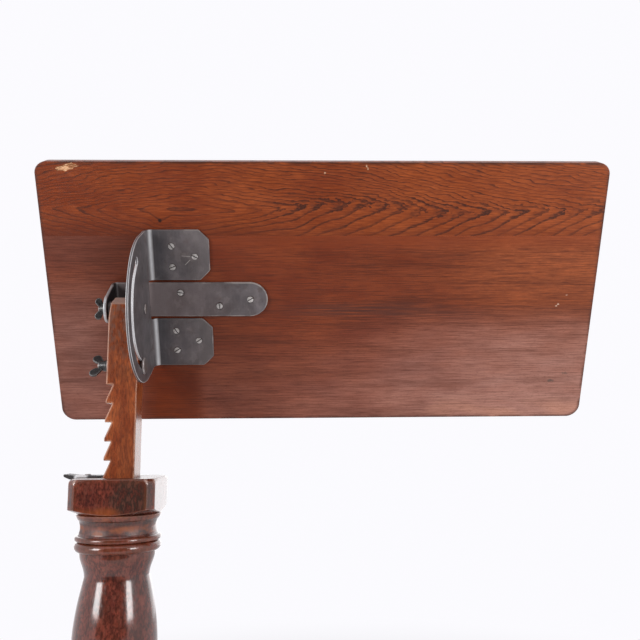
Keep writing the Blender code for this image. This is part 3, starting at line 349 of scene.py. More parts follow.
def signed_area(points):
    pairs = zip(points, points[1:] + points[:1])
    return sum(x1 * y2 - x2 * y1 for (x1, y1), (x2, y2) in pairs) / 2


def inset(points, distance):
    """The same closed outline moved to the left of its own direction."""
    moved = []
    for index, point in enumerate(points):
        here = Vector(point)
        ahead = (Vector(points[(index + 1) % len(points)]) - here).normalized()
        behind = (here - Vector(points[index - 1])).normalized()
        along = (ahead + behind).normalized()
        stretch = 1 / max(along.dot(ahead), 0.5)
        moved.append((here.x - along.y * distance * stretch, here.y + along.x * distance * stretch))
    return moved


# Meshes

def mesh_of(form, name):
    bmesh.ops.recalc_face_normals(form, faces=form.faces)
    mesh = bpy.data.meshes.new(name)
    form.to_mesh(mesh)
    form.free()
    return mesh


def form_of(mesh):
    form = bmesh.new()
    form.from_mesh(mesh)
    return form


def everything(form):
    return form.verts[:] + form.edges[:] + form.faces[:]


def close_rows(form, loops):
    """Joins closed loops of the same length with a wall of quads."""
    for lower, upper in zip(loops, loops[1:]):
        for index in range(len(lower)):
            after = (index + 1) % len(lower)
            form.faces.new((lower[index], lower[after], upper[after], upper[index]))


def slab(name, outlines, bottom, top, edge, band, steps=3):
    """A flat outline with any holes as a closed slab with rounded edges.

    The value wear is 1 along the edges and fades out over the band beside them.
    """
    form = bmesh.new()
    wear = form.verts.layers.float.new("wear")
    rows = [(edge + band, bottom, 0)]
    for step in range(steps + 1):
        turn = pi / 2 * step / steps
        rows.append((edge * (1 - sin(turn)), bottom + edge * (1 - cos(turn)), 1))
    if top - bottom > 2 * (edge + band):
        rows.append((0, bottom + edge + band, 0))
    rows += [(back, bottom + top - height, value) for back, height, value in reversed(rows)]
    lids = ([], [])
    for count, outline in enumerate(outlines):
        if (signed_area(outline) > 0) == (count > 0):
            outline = outline[::-1]
        loops = []
        for back, height, value in rows:
            loop = [form.verts.new((x, y, height)) for x, y in inset(outline, back)]
            for vert in loop:
                vert[wear] = value
            loops.append(loop)
        close_rows(form, loops)
        for lid, loop in zip(lids, (loops[0], loops[-1])):
            lid.extend(form.edges.get((loop[index - 1], loop[index])) for index in range(len(loop)))
    for lid in lids:
        bmesh.ops.triangle_fill(form, use_beauty=True, edges=lid)
    return mesh_of(form, name)


def turned(name, profile, sides):
    """A profile of (radius, height) points turned about the Z axis; it starts and ends on the axis."""
    form = bmesh.new()
    loops = []
    for radius, height in profile[1:-1]:
        loops.append([form.verts.new((x, y, height)) for x, y in ring(0, 0, radius, sides)])
    close_rows(form, loops)
    for (_, height), loop in ((profile[0], loops[0]), (profile[-1], loops[-1])):
        tip = form.verts.new((0, 0, height))
        for index in range(sides):
            form.faces.new((loop[index - 1], loop[index], tip))
    return mesh_of(form, name)


def cut_lines(form, axis, places):
    """Adds edges where planes across an axis meet the form."""
    normal = Vector()
    normal[axis] = 1
    for place in places:
        bmesh.ops.bisect_plane(form, geom=everything(form), dist=1e-6, plane_co=normal * place,
                               plane_no=normal)


def steps_between(low, high, step):
    count = int((high - low) / step)
    return [low + (high - low) * (index + 1) / (count + 1) for index in range(count)]


def sawn(mesh, name, point, normal):
    """A copy of a closed mesh without what lies on the normal's side of a plane, with the cut face closed."""
    form = form_of(mesh)
    kept = bmesh.ops.bisect_plane(form, geom=everything(form), plane_co=point, plane_no=normal,
                                  clear_outer=True)
    rim = [item for item in kept["geom_cut"] if isinstance(item, bmesh.types.BMEdge)]
    bmesh.ops.triangle_fill(form, use_beauty=True, edges=rim)
    return mesh_of(form, name)


def placed(name, data):
    """A new object in the scene."""
    item = bpy.data.objects.new(name, data)
    bpy.context.scene.collection.objects.link(item)
    return item


def plain_mesh(item, name):
    """The plain mesh that an object's modifiers make; the object itself is removed."""
    graph = bpy.context.evaluated_depsgraph_get()
    mesh = bpy.data.meshes.new_from_object(item.evaluated_get(graph))
    mesh.name = name
    bpy.data.objects.remove(item, do_unlink=True)
    return mesh


def worked(mesh, name, *modifiers):
    """The mesh after modifiers, each given as (kind, settings)."""
    blank = placed(name, mesh)
    for kind, settings in modifiers:
        modifier = blank.modifiers.new(kind.lower(), kind)
        for setting, value in settings.items():
            setattr(modifier, setting, value)
    return plain_mesh(blank, name)


def without(mesh, cutter, name):
    """The mesh with the cutter's shape taken away; the new faces take the cutter's finish, if it has one."""
    tool = placed("cutter", cutter)
    settings = {"operation": "DIFFERENCE", "solver": "EXACT", "object": tool}
    if cutter.materials:
        settings["material_mode"] = "TRANSFER"
    result = worked(mesh, name, ("BOOLEAN", settings))
    bpy.data.objects.remove(tool, do_unlink=True)
    return result


def box_cutter(name, low, high):
    form = bmesh.new()
    middle = (Vector(low) + Vector(high)) / 2
    size = Vector(high) - Vector(low)
    bmesh.ops.create_cube(form, size=1, matrix=Matrix.Translation(middle) @ Matrix.Diagonal((*size, 1)))
    return mesh_of(form, name)


def bore_cutter(radius, bottom, top):
    form = bmesh.new()
    middle = Matrix.Translation((0, 0, (top + bottom) / 2))
    bmesh.ops.create_cone(form, cap_ends=True, segments=40, radius1=radius, radius2=radius,
                          depth=top - bottom, matrix=middle)
    return mesh_of(form, "bore")


def mark_ridges(mesh, full, passes=2):
    """Sets wear from how far each vertex stands out above its neighbours.

    The rise over a neighbour's distance that counts as 1 is given by full.
    """
    form = form_of(mesh)
    form.normal_update()
    wear = form.verts.layers.float.get("wear") or form.verts.layers.float.new("wear")
    for vert in form.verts:
        rises = [vert.normal.dot(vert.co - edge.other_vert(vert).co) / max(edge.calc_length(), 1e-7)
                 for edge in vert.link_edges]
        vert[wear] = min(max(sum(rises) / max(len(rises), 1) / full, 0), 1)
    for _ in range(passes):
        smooth = [sum(edge.other_vert(vert)[wear] for edge in vert.link_edges) / max(len(vert.link_edges), 1)
                  for vert in form.verts]
        for vert, value in zip(form.verts, smooth):
            vert[wear] = (vert[wear] + value) / 2
    form.to_mesh(mesh)
    form.free()


def wobble(mesh, height, length, seed):
    """Lets a surface wander a little along its normals, as worked metal and old wood do."""
    normals = [vert.normal.copy() for vert in mesh.vertices]
    for vert, normal in zip(mesh.vertices, normals):
        swing = noise.noise(vert.co / length + Vector((seed, seed * 1.7, seed * 0.3)))
        vert.co += normal * swing * height


def add_piece(mesh, name, body, slot, finishes, *nodes):
    """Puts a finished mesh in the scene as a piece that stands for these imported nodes."""
    mesh.name = name
    mesh.shade_smooth()
    mesh.set_sharp_from_angle(angle=SHARP_ANGLE)
    if len(mesh.materials) != len(finishes):
        mesh.materials.clear()
        for finish in finishes:
            mesh.materials.append(finish)
    piece = placed(name, mesh)
    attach(piece, body)
    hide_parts(*nodes)


# Nodes of finishes and of geometry

def feed(tree, socket, value):
    """Gives a node's input a fixed value, or what another node puts out."""
    if isinstance(value, Field):
        value = value.socket
    if isinstance(value, bpy.types.NodeSocket):
        tree.links.new(value, socket)
    else:
        socket.default_value = value


def add_node(tree, kind, feeds, **settings):
    item = tree.nodes.new(kind)
    for setting, value in settings.items():
        setattr(item, setting, value)
    for socket, value in feeds.items():
        feed(tree, item.inputs[socket], value)
    return item


def joining(operation):
    """A method that joins a field and a number, or another field, by a Math node."""
    def method(field, other=0.0):
        return field.join(operation, field, other)
    return method


class Field:
    """A number that varies over a surface, put together from shader nodes by ordinary arithmetic."""

    def __init__(self, finish, socket):
        self.finish = finish
        self.socket = socket

    def join(self, operation, first, second):
        feeds = {0: first, 1: second}
        return Field(self.finish, self.finish.node("ShaderNodeMath", feeds, operation=operation).outputs[0])

    def __rsub__(self, other):
        return self.join("SUBTRACT", other, self)

    __add__ = __radd__ = joining("ADD")
    __sub__ = joining("SUBTRACT")
    __mul__ = __rmul__ = joining("MULTIPLY")
    __truediv__ = joining("DIVIDE")
    __pow__ = joining("POWER")
    most = joining("MAXIMUM")
    least = joining("MINIMUM")
    floor = joining("FLOOR")
    part = joining("FRACT")
    size = joining("ABSOLUTE")

    def ease(self, low, high):
        """0 up to low, 1 from high on, and a smooth rise between."""
        feeds = {"Value": self, "From Min": low, "From Max": high}
        item = self.finish.node("ShaderNodeMapRange", feeds, interpolation_type="SMOOTHSTEP", clamp=True)
        return Field(self.finish, item.outputs[0])


def distance(x, y, at):
    """Distance of the fields x and y from a place."""
    return ((x - at[0]) ** 2 + (y - at[1]) ** 2) ** 0.5


def stroke(x, y, start, end, width):
    """1 along a straight scratch between two places, 0 away from it."""
    along = (Vector(end) - Vector(start)).normalized()
    half = (Vector(end) - Vector(start)).length / 2
    middle = (Vector(end) + Vector(start)) / 2
    run = (x - middle.x) * along.x + (y - middle.y) * along.y
    aside = (y - middle.y) * along.x - (x - middle.x) * along.y
    past = (run.size() - half).most(0.0)
    return 1 - (aside.size() + past).ease(0, width)


class Finish:
    """A material put together one node at a time."""

    def __init__(self, name, **settings):
        self.material = bpy.data.materials.new(name)
        self.material.use_nodes = True
        self.tree = self.material.node_tree
        self.shader = self.tree.nodes["Principled BSDF"]
        for setting, value in settings.items():
            self.shader.inputs[setting.replace("_", " ")].default_value = value

    def node(self, kind, feeds, **settings):
        return add_node(self.tree, kind, feeds, **settings)

    def place(self, origin=(0, 0, 0), turn=(0, 0, 0)):
        """Object coordinates in millimetres, in a frame with this origin and turn."""
        coordinates = self.node("ShaderNodeTexCoord", {}).outputs["Object"]
        feeds = {"Vector": coordinates, "Location": origin, "Rotation": turn, "Scale": (0.001, 0.001, 0.001)}
        return self.node("ShaderNodeMapping", feeds, vector_type="TEXTURE").outputs["Vector"]

    def carried_place(self, name):
        """Millimetre coordinates that a mesh carries as an attribute in metres."""
        carried = self.node("ShaderNodeAttribute", {}, attribute_name=name).outputs["Vector"]
        return self.node("ShaderNodeVectorMath", {0: carried, 1: (1000, 1000, 1000)},
                         operation="MULTIPLY").outputs["Vector"]

    def split(self, place):
        item = self.node("ShaderNodeSeparateXYZ", {"Vector": place})
        return [Field(self, socket) for socket in item.outputs]

    def value(self, name):
        return Field(self, self.node("ShaderNodeAttribute", {}, attribute_name=name).outputs["Fac"])

    def cloud(self, place, lengths, detail=2.0, twist=0.0):
        """Soft noise about one half, with features of these lengths in millimetres along x, y and z."""
        per_length = tuple(1 / length for length in lengths)
        scaled = self.node("ShaderNodeVectorMath", {0: place, 1: per_length}, operation="MULTIPLY")
        feeds = {"Vector": scaled.outputs["Vector"], "Scale": 1.0, "Detail": detail, "Distortion": twist}
        return Field(self, self.node("ShaderNodeTexNoise", feeds).outputs[0])

    def chance(self, number):
        """A fixed random value for each whole number."""
        item = self.node("ShaderNodeTexWhiteNoise", {"W": number}, noise_dimensions="1D")
        return Field(self, item.outputs["Value"])

    def mix(self, share, first, second):
        """A colour between two others, each given as three numbers or as what a node puts out."""
        item = self.node("ShaderNodeMix", {0: share}, data_type="RGBA", clamp_factor=True)
        for socket, colour in ((6, first), (7, second)):
            if not isinstance(colour, bpy.types.NodeSocket):
                colour = (*colour, 1)
            feed(self.tree, item.inputs[socket], colour)
        return item.outputs[2]

    def coats(self, colour, *coats):
        """A colour with others laid over it in turn, each given as (share, colour)."""
        for share, over in coats:
            colour = self.mix(share, colour, over)
        return colour

    def fleck(self, place, at, length, width):
        """1 inside a small broken mark with a ragged edge, 0 away from it."""
        x, y, _ = self.split(place)
        ragged = self.cloud(place, (2.4, 1.4, 2), 3)
        reach = (((x - at[0]) / length) ** 2 + ((y - at[1]) / width) ** 2) ** 0.5
        return 1 - (reach + ragged * 2.4 - 1.2).ease(0.5, 1.1)

    def surface(self, colour, roughness, height, depth):
        """Feeds the shader; height is relief from 0 to 1 that counts as depth in metres."""
        bump = self.node("ShaderNodeBump", {"Height": height, "Strength": 1.0, "Distance": depth})
        feeds = {"Base Color": colour, "Roughness": roughness, "Normal": bump.outputs["Normal"]}
        for socket, value in feeds.items():
            feed(self.tree, self.shader.inputs[socket], value)
        return self.material


# Finishes

VARNISH = {"Specular_IOR_Level": 0.25, "Coat_Weight": 0.03, "Coat_Roughness": 0.2}

# Marks, painted shadow and painted sheen that only the board's underside has fade out between these depths
UNDERSIDE_DEPTHS = (-12, -6)

# Pale nicks in the board as (paleness, place, length, width), and scratches on a tab of the bracket as
# (start, end, width), all in millimetres on the board's underside
FIGURED_NICKS = ((0.85, (318.4, 183.0), 1.2, 2.2), (0.85, (320.2, 179.4), 1.0, 1.9),
                 (0.85, (263.4, 173.6), 1.3, 1.2))
PLAIN_NICKS = ((0.9, (595.6, -9.6), 1.7, 1.1), (0.9, (592.6, -12.2), 1.5, 1.0), (0.5, (606.0, 4.0), 1.8, 0.9))
TAB_SCRATCHES = (((80.4, 56.3), (73.5, 49.5), 0.7), ((69.3, 62.0), (80.8, 61.1), 0.5))


def on_board(finish):
    return finish.place(UNDERSIDE.translation, UNDERSIDE.to_euler())


def on_column(finish):
    return finish.place(COLUMN_PLACE.translation)


def on_leg(finish):
    return finish.carried_place("leg_place")


def board_edge(finish, place):
    """Where the board is darker along its edges."""
    return finish.value("wear") * finish.cloud(place, (25, 25, 8), 3).ease(0.3, 0.6)


def figured_wood():
    """Flat-sawn varnished wood: nested arches with smudged dark tips, and long fine lines above them."""
    finish = Finish("figured board wood", **VARNISH)
    place = on_board(finish)
    x, y, z = finish.split(place)
    under = z.ease(*UNDERSIDE_DEPTHS)
    sway = finish.cloud(place, (170, 60, 80)) - 0.5
    ripple = finish.cloud(place, (38, 12, 30)) - 0.5
    ragged = finish.cloud(place, (8, 3, 6), 3) - 0.5
    drift = finish.cloud(place, (75, 300, 200)) - 0.5
    heart = 124 + x.ease(150, 270) * 10 - x.ease(300, 450) * 11 + x.ease(500, 600) * 4
    knot = distance(x, y, (42.3, 109.9))
    swirl = 1 - knot.ease(0, 20)
    across = y - heart + sway * 22 + ripple * 8 + swirl * 7
    bold = x.ease(140, 240)
    above = across.most(0.0)
    below = (0 - across).most(0.0)
    tips = (1 - across.size().ease(2, 17)) * bold
    limbs = (above ** 2 + 5) ** 0.5 / 4.7 + (below ** 2 + 12) ** 0.5 * (0.15 - bold * 0.07)
    run = ((x - 80) ** 2 + 2500) ** 0.5 / 27
    count = limbs + run + drift * 1.5 + ripple * 0.6 + ragged * (tips * 1.3 + 0.25)
    wave = count.part()
    line = wave.ease(0.64 - tips * 0.34, 0.85) * (1 - wave.ease(0.93, 1))
    shade = wave.ease(0.0, 0.85) * (1 - wave.ease(0.92, 1))
    fade = finish.cloud(place, (60, 14, 20), 2).ease(0.25, 0.5) * 0.5 + 0.5
    strength = (finish.chance(count.floor()) * 0.5 + 0.5) * fade * (tips * 0.4 + bold * 0.25 + 0.75)
    dashes = finish.cloud(place, (9, 1.0, 3), 3).ease(0.36, 0.6)
    dark = (line * strength * (dashes * 0.6 + 0.55)).least(1.0)
    smudge = finish.cloud(place, (15, 6, 10), 4).ease(0.52, 0.68) * tips
    pores = finish.cloud(place, (6, 0.6, 0.8), 2).ease(0.56, 0.7)
    fibre = finish.cloud(place, (20, 1.2, 3), 4)
    patch = finish.cloud(place, (110, 45, 80), 3) + x / 1800
    beside_joint = (1 - y.ease(90, 106)) * (0.15 + fibre * 0.4)
    lower_left = (1 - y.ease(90, 124)) * (1 - bold) * under
    colour = finish.mix(patch.ease(0.3, 0.9), (0.172, 0.0265, 0.0040), (0.298, 0.0625, 0.0122))
    colour = finish.coats(
        colour,
        (shade * 0.2, (0.115, 0.0185, 0.0038)),
        (fibre.ease(0.4, 0.62) * 0.5, (0.105, 0.0175, 0.0045)),
        ((1 - fibre.ease(0.34, 0.48)) * 0.22, (0.38, 0.092, 0.022)),
        (smudge * 0.5, (0.085, 0.0225, 0.011)),
        (dark * 0.92, (0.034, 0.0095, 0.0055)),
        (pores * 0.4, (0.045, 0.010, 0.004)),
        (beside_joint, (0.105, 0.019, 0.006)),
        (lower_left * 0.45, (0.088, 0.0155, 0.005)),
        (1 - knot.ease(1.2, 3.6), (0.018, 0.007, 0.005)))
    for paleness, *nick in FIGURED_NICKS:
        colour = finish.mix(finish.fleck(place, *nick) * under * paleness, colour, (0.50, 0.32, 0.20))
    colour = finish.mix(board_edge(finish, place) * 0.85, colour, (0.045, 0.0135, 0.0075))
    roughness = finish.cloud(place, (60, 30, 40), 3) * 0.26 + dark * 0.1 + 0.26
    height = fibre * 0.25 - dark * 0.4 - pores * 0.5 + 0.5
    return finish.surface(colour, roughness, height, 0.00012)


def bare_wood():
    """Fresh split wood where a chip has come away."""
    finish = Finish("bare split wood", Specular_IOR_Level=0.2)
    place = on_board(finish)
    fibre = finish.cloud(place, (14, 1.6, 1.6), 3)
    mottle = finish.cloud(place, (11, 4.5, 4), 2)
    colour = finish.mix(fibre.ease(0.36, 0.62), (0.34, 0.135, 0.050), (0.66, 0.39, 0.22))
    colour = finish.mix(mottle.ease(0.46, 0.62) * 0.7, colour, (0.20, 0.060, 0.019))
    return finish.surface(colour, fibre * 0.2 + 0.6, fibre, 0.0005)


def plain_wood():
    """Straight-grained varnished wood with fine threads, and a painted sheen towards the lower edge and the
    ends.
    """
    finish = Finish("plain board wood", **VARNISH)
    place = on_board(finish)
    x, y, z = finish.split(place)
    under = z.ease(*UNDERSIDE_DEPTHS)
    sway = finish.cloud(place, (340, 80, 80)) - 0.5
    fibre = finish.cloud(place, (22, 1.0, 3), 4)
    threads = finish.cloud(place, (70, 1.7, 6), 4)
    streaks = finish.cloud(place, (260, 15, 40), 4)
    pores = finish.cloud(place, (5, 0.8, 0.8), 2).ease(0.56, 0.68)
    patch = finish.cloud(place, (95, 42, 60), 3)
    clouds = finish.cloud(place, (70, 26, 40), 4)
    flecks = finish.cloud(place, (10, 2.4, 4), 3).ease(0.5, 0.68)
    glow = x.ease(340, 600) * y.ease(-45, 40) * (patch * 0.5 + 0.35)
    # Painted shadow of the bracket on the board below its lower tab
    painted_bracket_shadow = x.ease(-6, 6) * (1 - x.ease(70, 92)) * (1 - y.ease(-112, -92)) * under
    corner = (1 - x.ease(-20, 60)) * y.ease(20, 80) * under
    # A painted sheen of reflected light, laid into the colour towards the lower edge, the right and the left
    # end
    rightward = x.ease(230, 480)
    low = (1 - y.ease(-175, -25)) * (1 - rightward)
    low = low + ((1 - y.ease(-70, -5)) * 0.6 + (1 - y.ease(-185, -60)) * 0.4) * rightward
    low = low * (under * 0.6 + 0.4)
    left = (1 - x.ease(-75, 30)) * (1 - y.ease(-50, 45) * 0.8) * under
    painted_sheen = low * (x.ease(74, 98) * 0.14 + x.ease(140, 620) * 0.56) + left * 0.36
    painted_sheen = painted_sheen * (clouds * 1.1 + patch * 0.5 + 0.2)
    gold = low * x.ease(250, 560) * (1 - y.ease(-172, -140)) * clouds.ease(0.4, 0.65)
    grain = streaks.ease(0.46, 0.72) * 0.34 + threads.ease(0.44, 0.62) * 0.4 + fibre.ease(0.44, 0.62) * 0.36
    band = (1 - (y + 17 + sway * 16).size().ease(4, 15)) * x.ease(150, 290) * threads.ease(0.3, 0.56)
    beside_joint = y.ease(60, 88) * x.ease(40, 160)
    colour = finish.mix(patch.ease(0.3, 0.7), (0.144, 0.0222, 0.0050), (0.204, 0.0388, 0.0097))
    colour = finish.coats(
        colour,
        (x.ease(300, 620) * 0.4, (0.27, 0.070, 0.022)),
        ((glow + glow * flecks).least(1.0) * 0.68, (0.37, 0.092, 0.026)),
        # Painted shadow of the bracket below its lower tab
        (painted_bracket_shadow * 0.55, (0.085, 0.0125, 0.0035)),
        (corner * 0.5, (0.080, 0.0140, 0.005)),
        # Painted sheen of reflected light
        (painted_sheen.least(0.8), (0.44, 0.24, 0.20)),
        (gold * 0.4, (0.46, 0.19, 0.105)),
        ((grain * (1 - painted_sheen * 0.6)).least(0.8), (0.066, 0.0135, 0.0055)),
        (band * (0.8 - x.ease(330, 500) * 0.6), (0.066, 0.020, 0.0135)),
        (pores * 0.35, (0.070, 0.018, 0.010)),
        (beside_joint * (0.6 - fibre * 0.3), (0.225, 0.040, 0.009)))
    for paleness, *nick in PLAIN_NICKS:
        colour = finish.mix(finish.fleck(place, *nick) * under * paleness, colour, (0.58, 0.42, 0.32))
    dent = finish.fleck(place, (596.7, -127), 5.5, 2.8)
    dent = dent.most(finish.fleck(place, (616.5, -115.5), 6.0, 2.0) * 0.7)
    colour = finish.coats(
        colour,
        (dent * under * 0.7, (0.075, 0.055, 0.045)),
        (board_edge(finish, place) * 0.8, (0.060, 0.020, 0.013)))
    roughness = finish.cloud(place, (90, 22, 40), 3) * 0.24 + threads * 0.08 + painted_sheen * 0.15 + 0.24
    height = fibre * 0.35 - pores * 0.4 - dent * 0.5 + 0.5
    return finish.surface(colour, roughness, height, 0.0001)


def post_wood():
    """Oiled upright wood full of fine dark pores, rubbed pale along its edges and teeth."""
    finish = Finish("oiled post wood", Specular_IOR_Level=0.5)
    place = finish.place(POST_PLACE.translation)
    z = finish.split(place)[2]
    fibre = finish.cloud(place, (1.5, 1.5, 30), 3)
    streaks = finish.cloud(place, (8, 8, 120), 3)
    pores = finish.cloud(place, (0.9, 0.9, 7), 2).ease(0.5, 0.62)
    speckle = finish.cloud(place, (2.0, 2.0, 9), 4)
    patch = finish.cloud(place, (20, 20, 40), 3)
    grime = finish.cloud(place, (6, 6, 9), 4).ease(0.44, 0.64) * z.ease(110, 215)
    top = z.ease(221.6, 223.4) * (speckle * 0.5 + 0.45)
    wear = finish.value("wear") * finish.cloud(place, (5, 5, 12), 3).ease(0.28, 0.52)
    colour = finish.mix(patch.ease(0.32, 0.68), (0.200, 0.0365, 0.0090), (0.325, 0.0790, 0.0185))
    colour = finish.coats(
        colour,
        (streaks.ease(0.46, 0.66) * 0.45, (0.120, 0.026, 0.010)),
        (speckle.ease(0.46, 0.64) * 0.6, (0.105, 0.0205, 0.007)),
        (fibre.ease(0.42, 0.68) * 0.35, (0.140, 0.030, 0.010)),
        (pores * 0.55, (0.060, 0.013, 0.005)),
        (grime * 0.7, (0.150, 0.078, 0.058)),
        (top, (0.36, 0.265, 0.235)),
        (wear * 0.5, (0.46, 0.24, 0.15)))
    roughness = patch * 0.12 + wear * 0.1 + 0.22
    height = fibre * 0.4 - pores * 0.2 + patch * 0.2 + 0.4
    return finish.surface(colour, roughness, height, 0.00003)


def column_marks(finish, place, speckle):
    """Old damage and painted shade on the column as (stain, worn, dull, arris), by millimetres below the
    head's top.

    The head's front is stained, and the stain share also lays a painted shadow of the ring on the drum's top
    and a darker band above the bead. The head's foot, the ring and the drum are rubbed through.
    """
    x, y, z = finish.split(place)
    drop = HEAD_TOP * 1000 - z
    in_front = 1 - y.ease(-30, -15)
    ragged = finish.cloud(place, (13, 13, 13), 4) - 0.5
    reach = (((x - 24) / 29) ** 2 + ((drop - 21) / 27) ** 2) ** 0.5 + ragged * 1.1
    stain = (1 - reach.ease(0.7, 1.1)) * in_front * (speckle * 0.7 + 0.45)
    # Painted shadow of the ring over the top of the drum, laid into the stain share
    painted_ring_shadow = drop.ease(49.5, 51) * (1 - drop.ease(54, 60))
    over_bead = drop.ease(58, 64) * (1 - drop.ease(68, 69))
    stain = stain.most((painted_ring_shadow * 0.6 + over_bead * 0.3) * (speckle * 0.5 + 0.75))
    foot = (1 - distance(x * 0.45 + 3, drop, (0, 41)).ease(2, 11)) * (ragged + 0.75)
    foot = foot.most(drop.ease(30, 42) * (1 - x.ease(-14, 4)) * 0.5) * (1 - drop.ease(43.5, 45))
    drum = drop.ease(55, 59) * (1 - drop.ease(66, 69))
    drum_wear = drum * finish.cloud(place, (15, 15, 9), 3).ease(0.38, 0.6)
    ring_zone = drop.ease(42, 45) * (1 - drop.ease(49, 51))
    ring_wear = ring_zone * finish.cloud(place, (22, 22, 8), 3).ease(0.5, 0.62)
    worn = (foot * in_front).most(drum_wear * 0.75).most(ring_wear * 0.6) * (speckle + 0.25)
    drum_front = drop.ease(52, 56) * (1 - drop.ease(66, 69)) * (1 - y.ease(-24, -8))
    dull = (drum_front * 0.8).most(0.36 - drop.ease(0.4, 1.4) * 0.36)
    arris = 1 - drop.ease(41, 44) * 0.75
    return stain.least(1.0), worn.least(1.0), dull, arris


def leg_marks(finish, place, _):
    """Old damage on a leg as (stain, worn, dull, arris): its toe and the top of its knee are rubbed."""
    x, _, z = finish.split(place)
    toe = x.ease(270, 298)
    knee = x.ease(60, 90) * (1 - x.ease(110, 150)) * z.ease(150, 175)
    scuffs = finish.cloud(place, (14, 8, 8), 4).ease(0.48, 0.62)
    stain = finish.cloud(place, (60, 30, 40), 3).ease(0.56, 0.7) * 0.6
    arris = finish.cloud(place, (45, 14, 14), 3).ease(0.52, 0.7) * 0.3
    return stain, toe.most(knee * 0.6) * scuffs, toe * 0.5, arris


# Lengths of fibre, streaks, pores, speckle and mottle in dark wood, by the way that the grain runs
DARK_GRAIN = {"up": ((1.5, 1.5, 22), (9, 9, 90), (0.6, 0.6, 5), (2.3, 2.3, 4.5), (5, 5, 11)),
              "along": ((22, 1.5, 1.5), (90, 9, 9), (5, 0.6, 0.6), (12, 2.0, 2.0), (40, 5, 5))}


def dark_polish(name, place_of, grain, marks_of):
    """Dark polished wood with a crackled surface, rubbed to orange on the ridges, pale on the arrises."""
    finish = Finish(name, Specular_IOR_Level=0.65)
    place = place_of(finish)
    fibre_lengths, streak_lengths, pore_lengths, speckle_lengths, mottle_lengths = DARK_GRAIN[grain]
    fibre = finish.cloud(place, fibre_lengths, 3)
    streaks = finish.cloud(place, streak_lengths, 3)
    pores = finish.cloud(place, pore_lengths, 2).ease(0.56, 0.7)
    blotch = finish.cloud(place, (22, 22, 22), 4, 0.6)
    speckle = finish.cloud(place, speckle_lengths, 4)
    mottle = finish.cloud(place, mottle_lengths, 4)
    stain, worn, dull, arris = marks_of(finish, place, speckle)
    ridge = finish.value("wear")
    rubbed = ridge * (blotch * 0.5 + speckle * 0.5).ease(0.34, 0.52)
    colour = finish.mix(streaks.ease(0.36, 0.66), (0.168, 0.0370, 0.0235), (0.104, 0.0235, 0.0175))
    colour = finish.coats(
        colour,
        (fibre.ease(0.4, 0.68) * 0.4, (0.062, 0.0115, 0.006)),
        (blotch.ease(0.48, 0.66) * 0.6, (0.036, 0.009, 0.006)),
        (speckle.ease(0.46, 0.58) * 0.65, (0.026, 0.009, 0.007)),
        (mottle.ease(0.5, 0.64) * 0.5, (0.034, 0.0115, 0.0085)),
        # On the column this stain share also carries the ring's painted shadow on the drum
        (stain * (1.25 - mottle.ease(0.44, 0.6) * 0.8), (0.030, 0.0180, 0.0140)),
        ((1 - mottle.ease(0.36, 0.48)) * 0.4, (0.170, 0.052, 0.034)),
        (pores * 0.4, (0.022, 0.007, 0.005)),
        (worn.most(rubbed * 0.3), (0.27, 0.066, 0.013)),
        (ridge.ease(0.7, 1) * (speckle * 0.9 + 0.1) * arris, (0.54, 0.38, 0.33)))
    roughness = speckle * 0.07 + blotch * 0.05 + rubbed * 0.03 + worn * 0.15 + dull * 0.45 + 0.055
    height = fibre * 0.3 - pores * 0.35 + speckle * 0.25 + 0.4
    return finish.surface(colour, roughness, height, 0.00006)


def bracket_tints(x, y, z):
    """Painted shade by the bends and on the ear, painted light at the strap's end, a brown strap and paler tab
    ends.
    """
    flat = 1 - z.ease(6, 10)
    tab = y.size().ease(25, 28) * flat
    strap = (1 - y.size().ease(24.5, 26)) * flat
    height = z - SHEET_PIVOT * 1000
    from_pivot = (y ** 2 + height ** 2) ** 0.5
    from_wall = (from_pivot - (SLOT_RADIUS - SLOT_HALF_WIDTH) * 1000).size()
    in_slot = (height / from_pivot).ease(cos(TILT_LIMIT) - 0.03, cos(TILT_LIMIT))
    slot_wall = (1 - from_wall.ease(0.3, 0.9)) * in_slot * x.ease(10, 14)
    # Painted shade on the tabs beside their bends, in the corner that the flange shades
    return ((tab * (1 - x.ease(36, 62)) * 0.62, (0.048, 0.048, 0.056)),
            (tab * x.ease(60, 105) * 0.45, (0.165, 0.140, 0.138)),
            (strap * (1 - x.ease(90, 150)) * 0.4, (0.175, 0.128, 0.124)),
            # Painted light on the strap's end by the flange, lifting it out of the flange's shadow
            (strap * (1 - x.ease(34, 62)) * 0.6, (0.205, 0.165, 0.165)),
            (z.ease(14, 24) * 0.25, (0.085, 0.087, 0.096)),
            (slot_wall * 0.85, (0.70, 0.69, 0.70)),
            # Painted shade over the ear
            ((1 - x.ease(-24, -16)) * 0.75, (0.030, 0.028, 0.030)))


def catch_tints(x, *_):
    """Where thumbs have rubbed the catch bright, beside its screw."""
    return ((x.ease(-59, -55) * (1 - x.ease(-43, -39)) * 0.9, (0.74, 0.73, 0.75)),)


def no_tints(*_):
    return ()


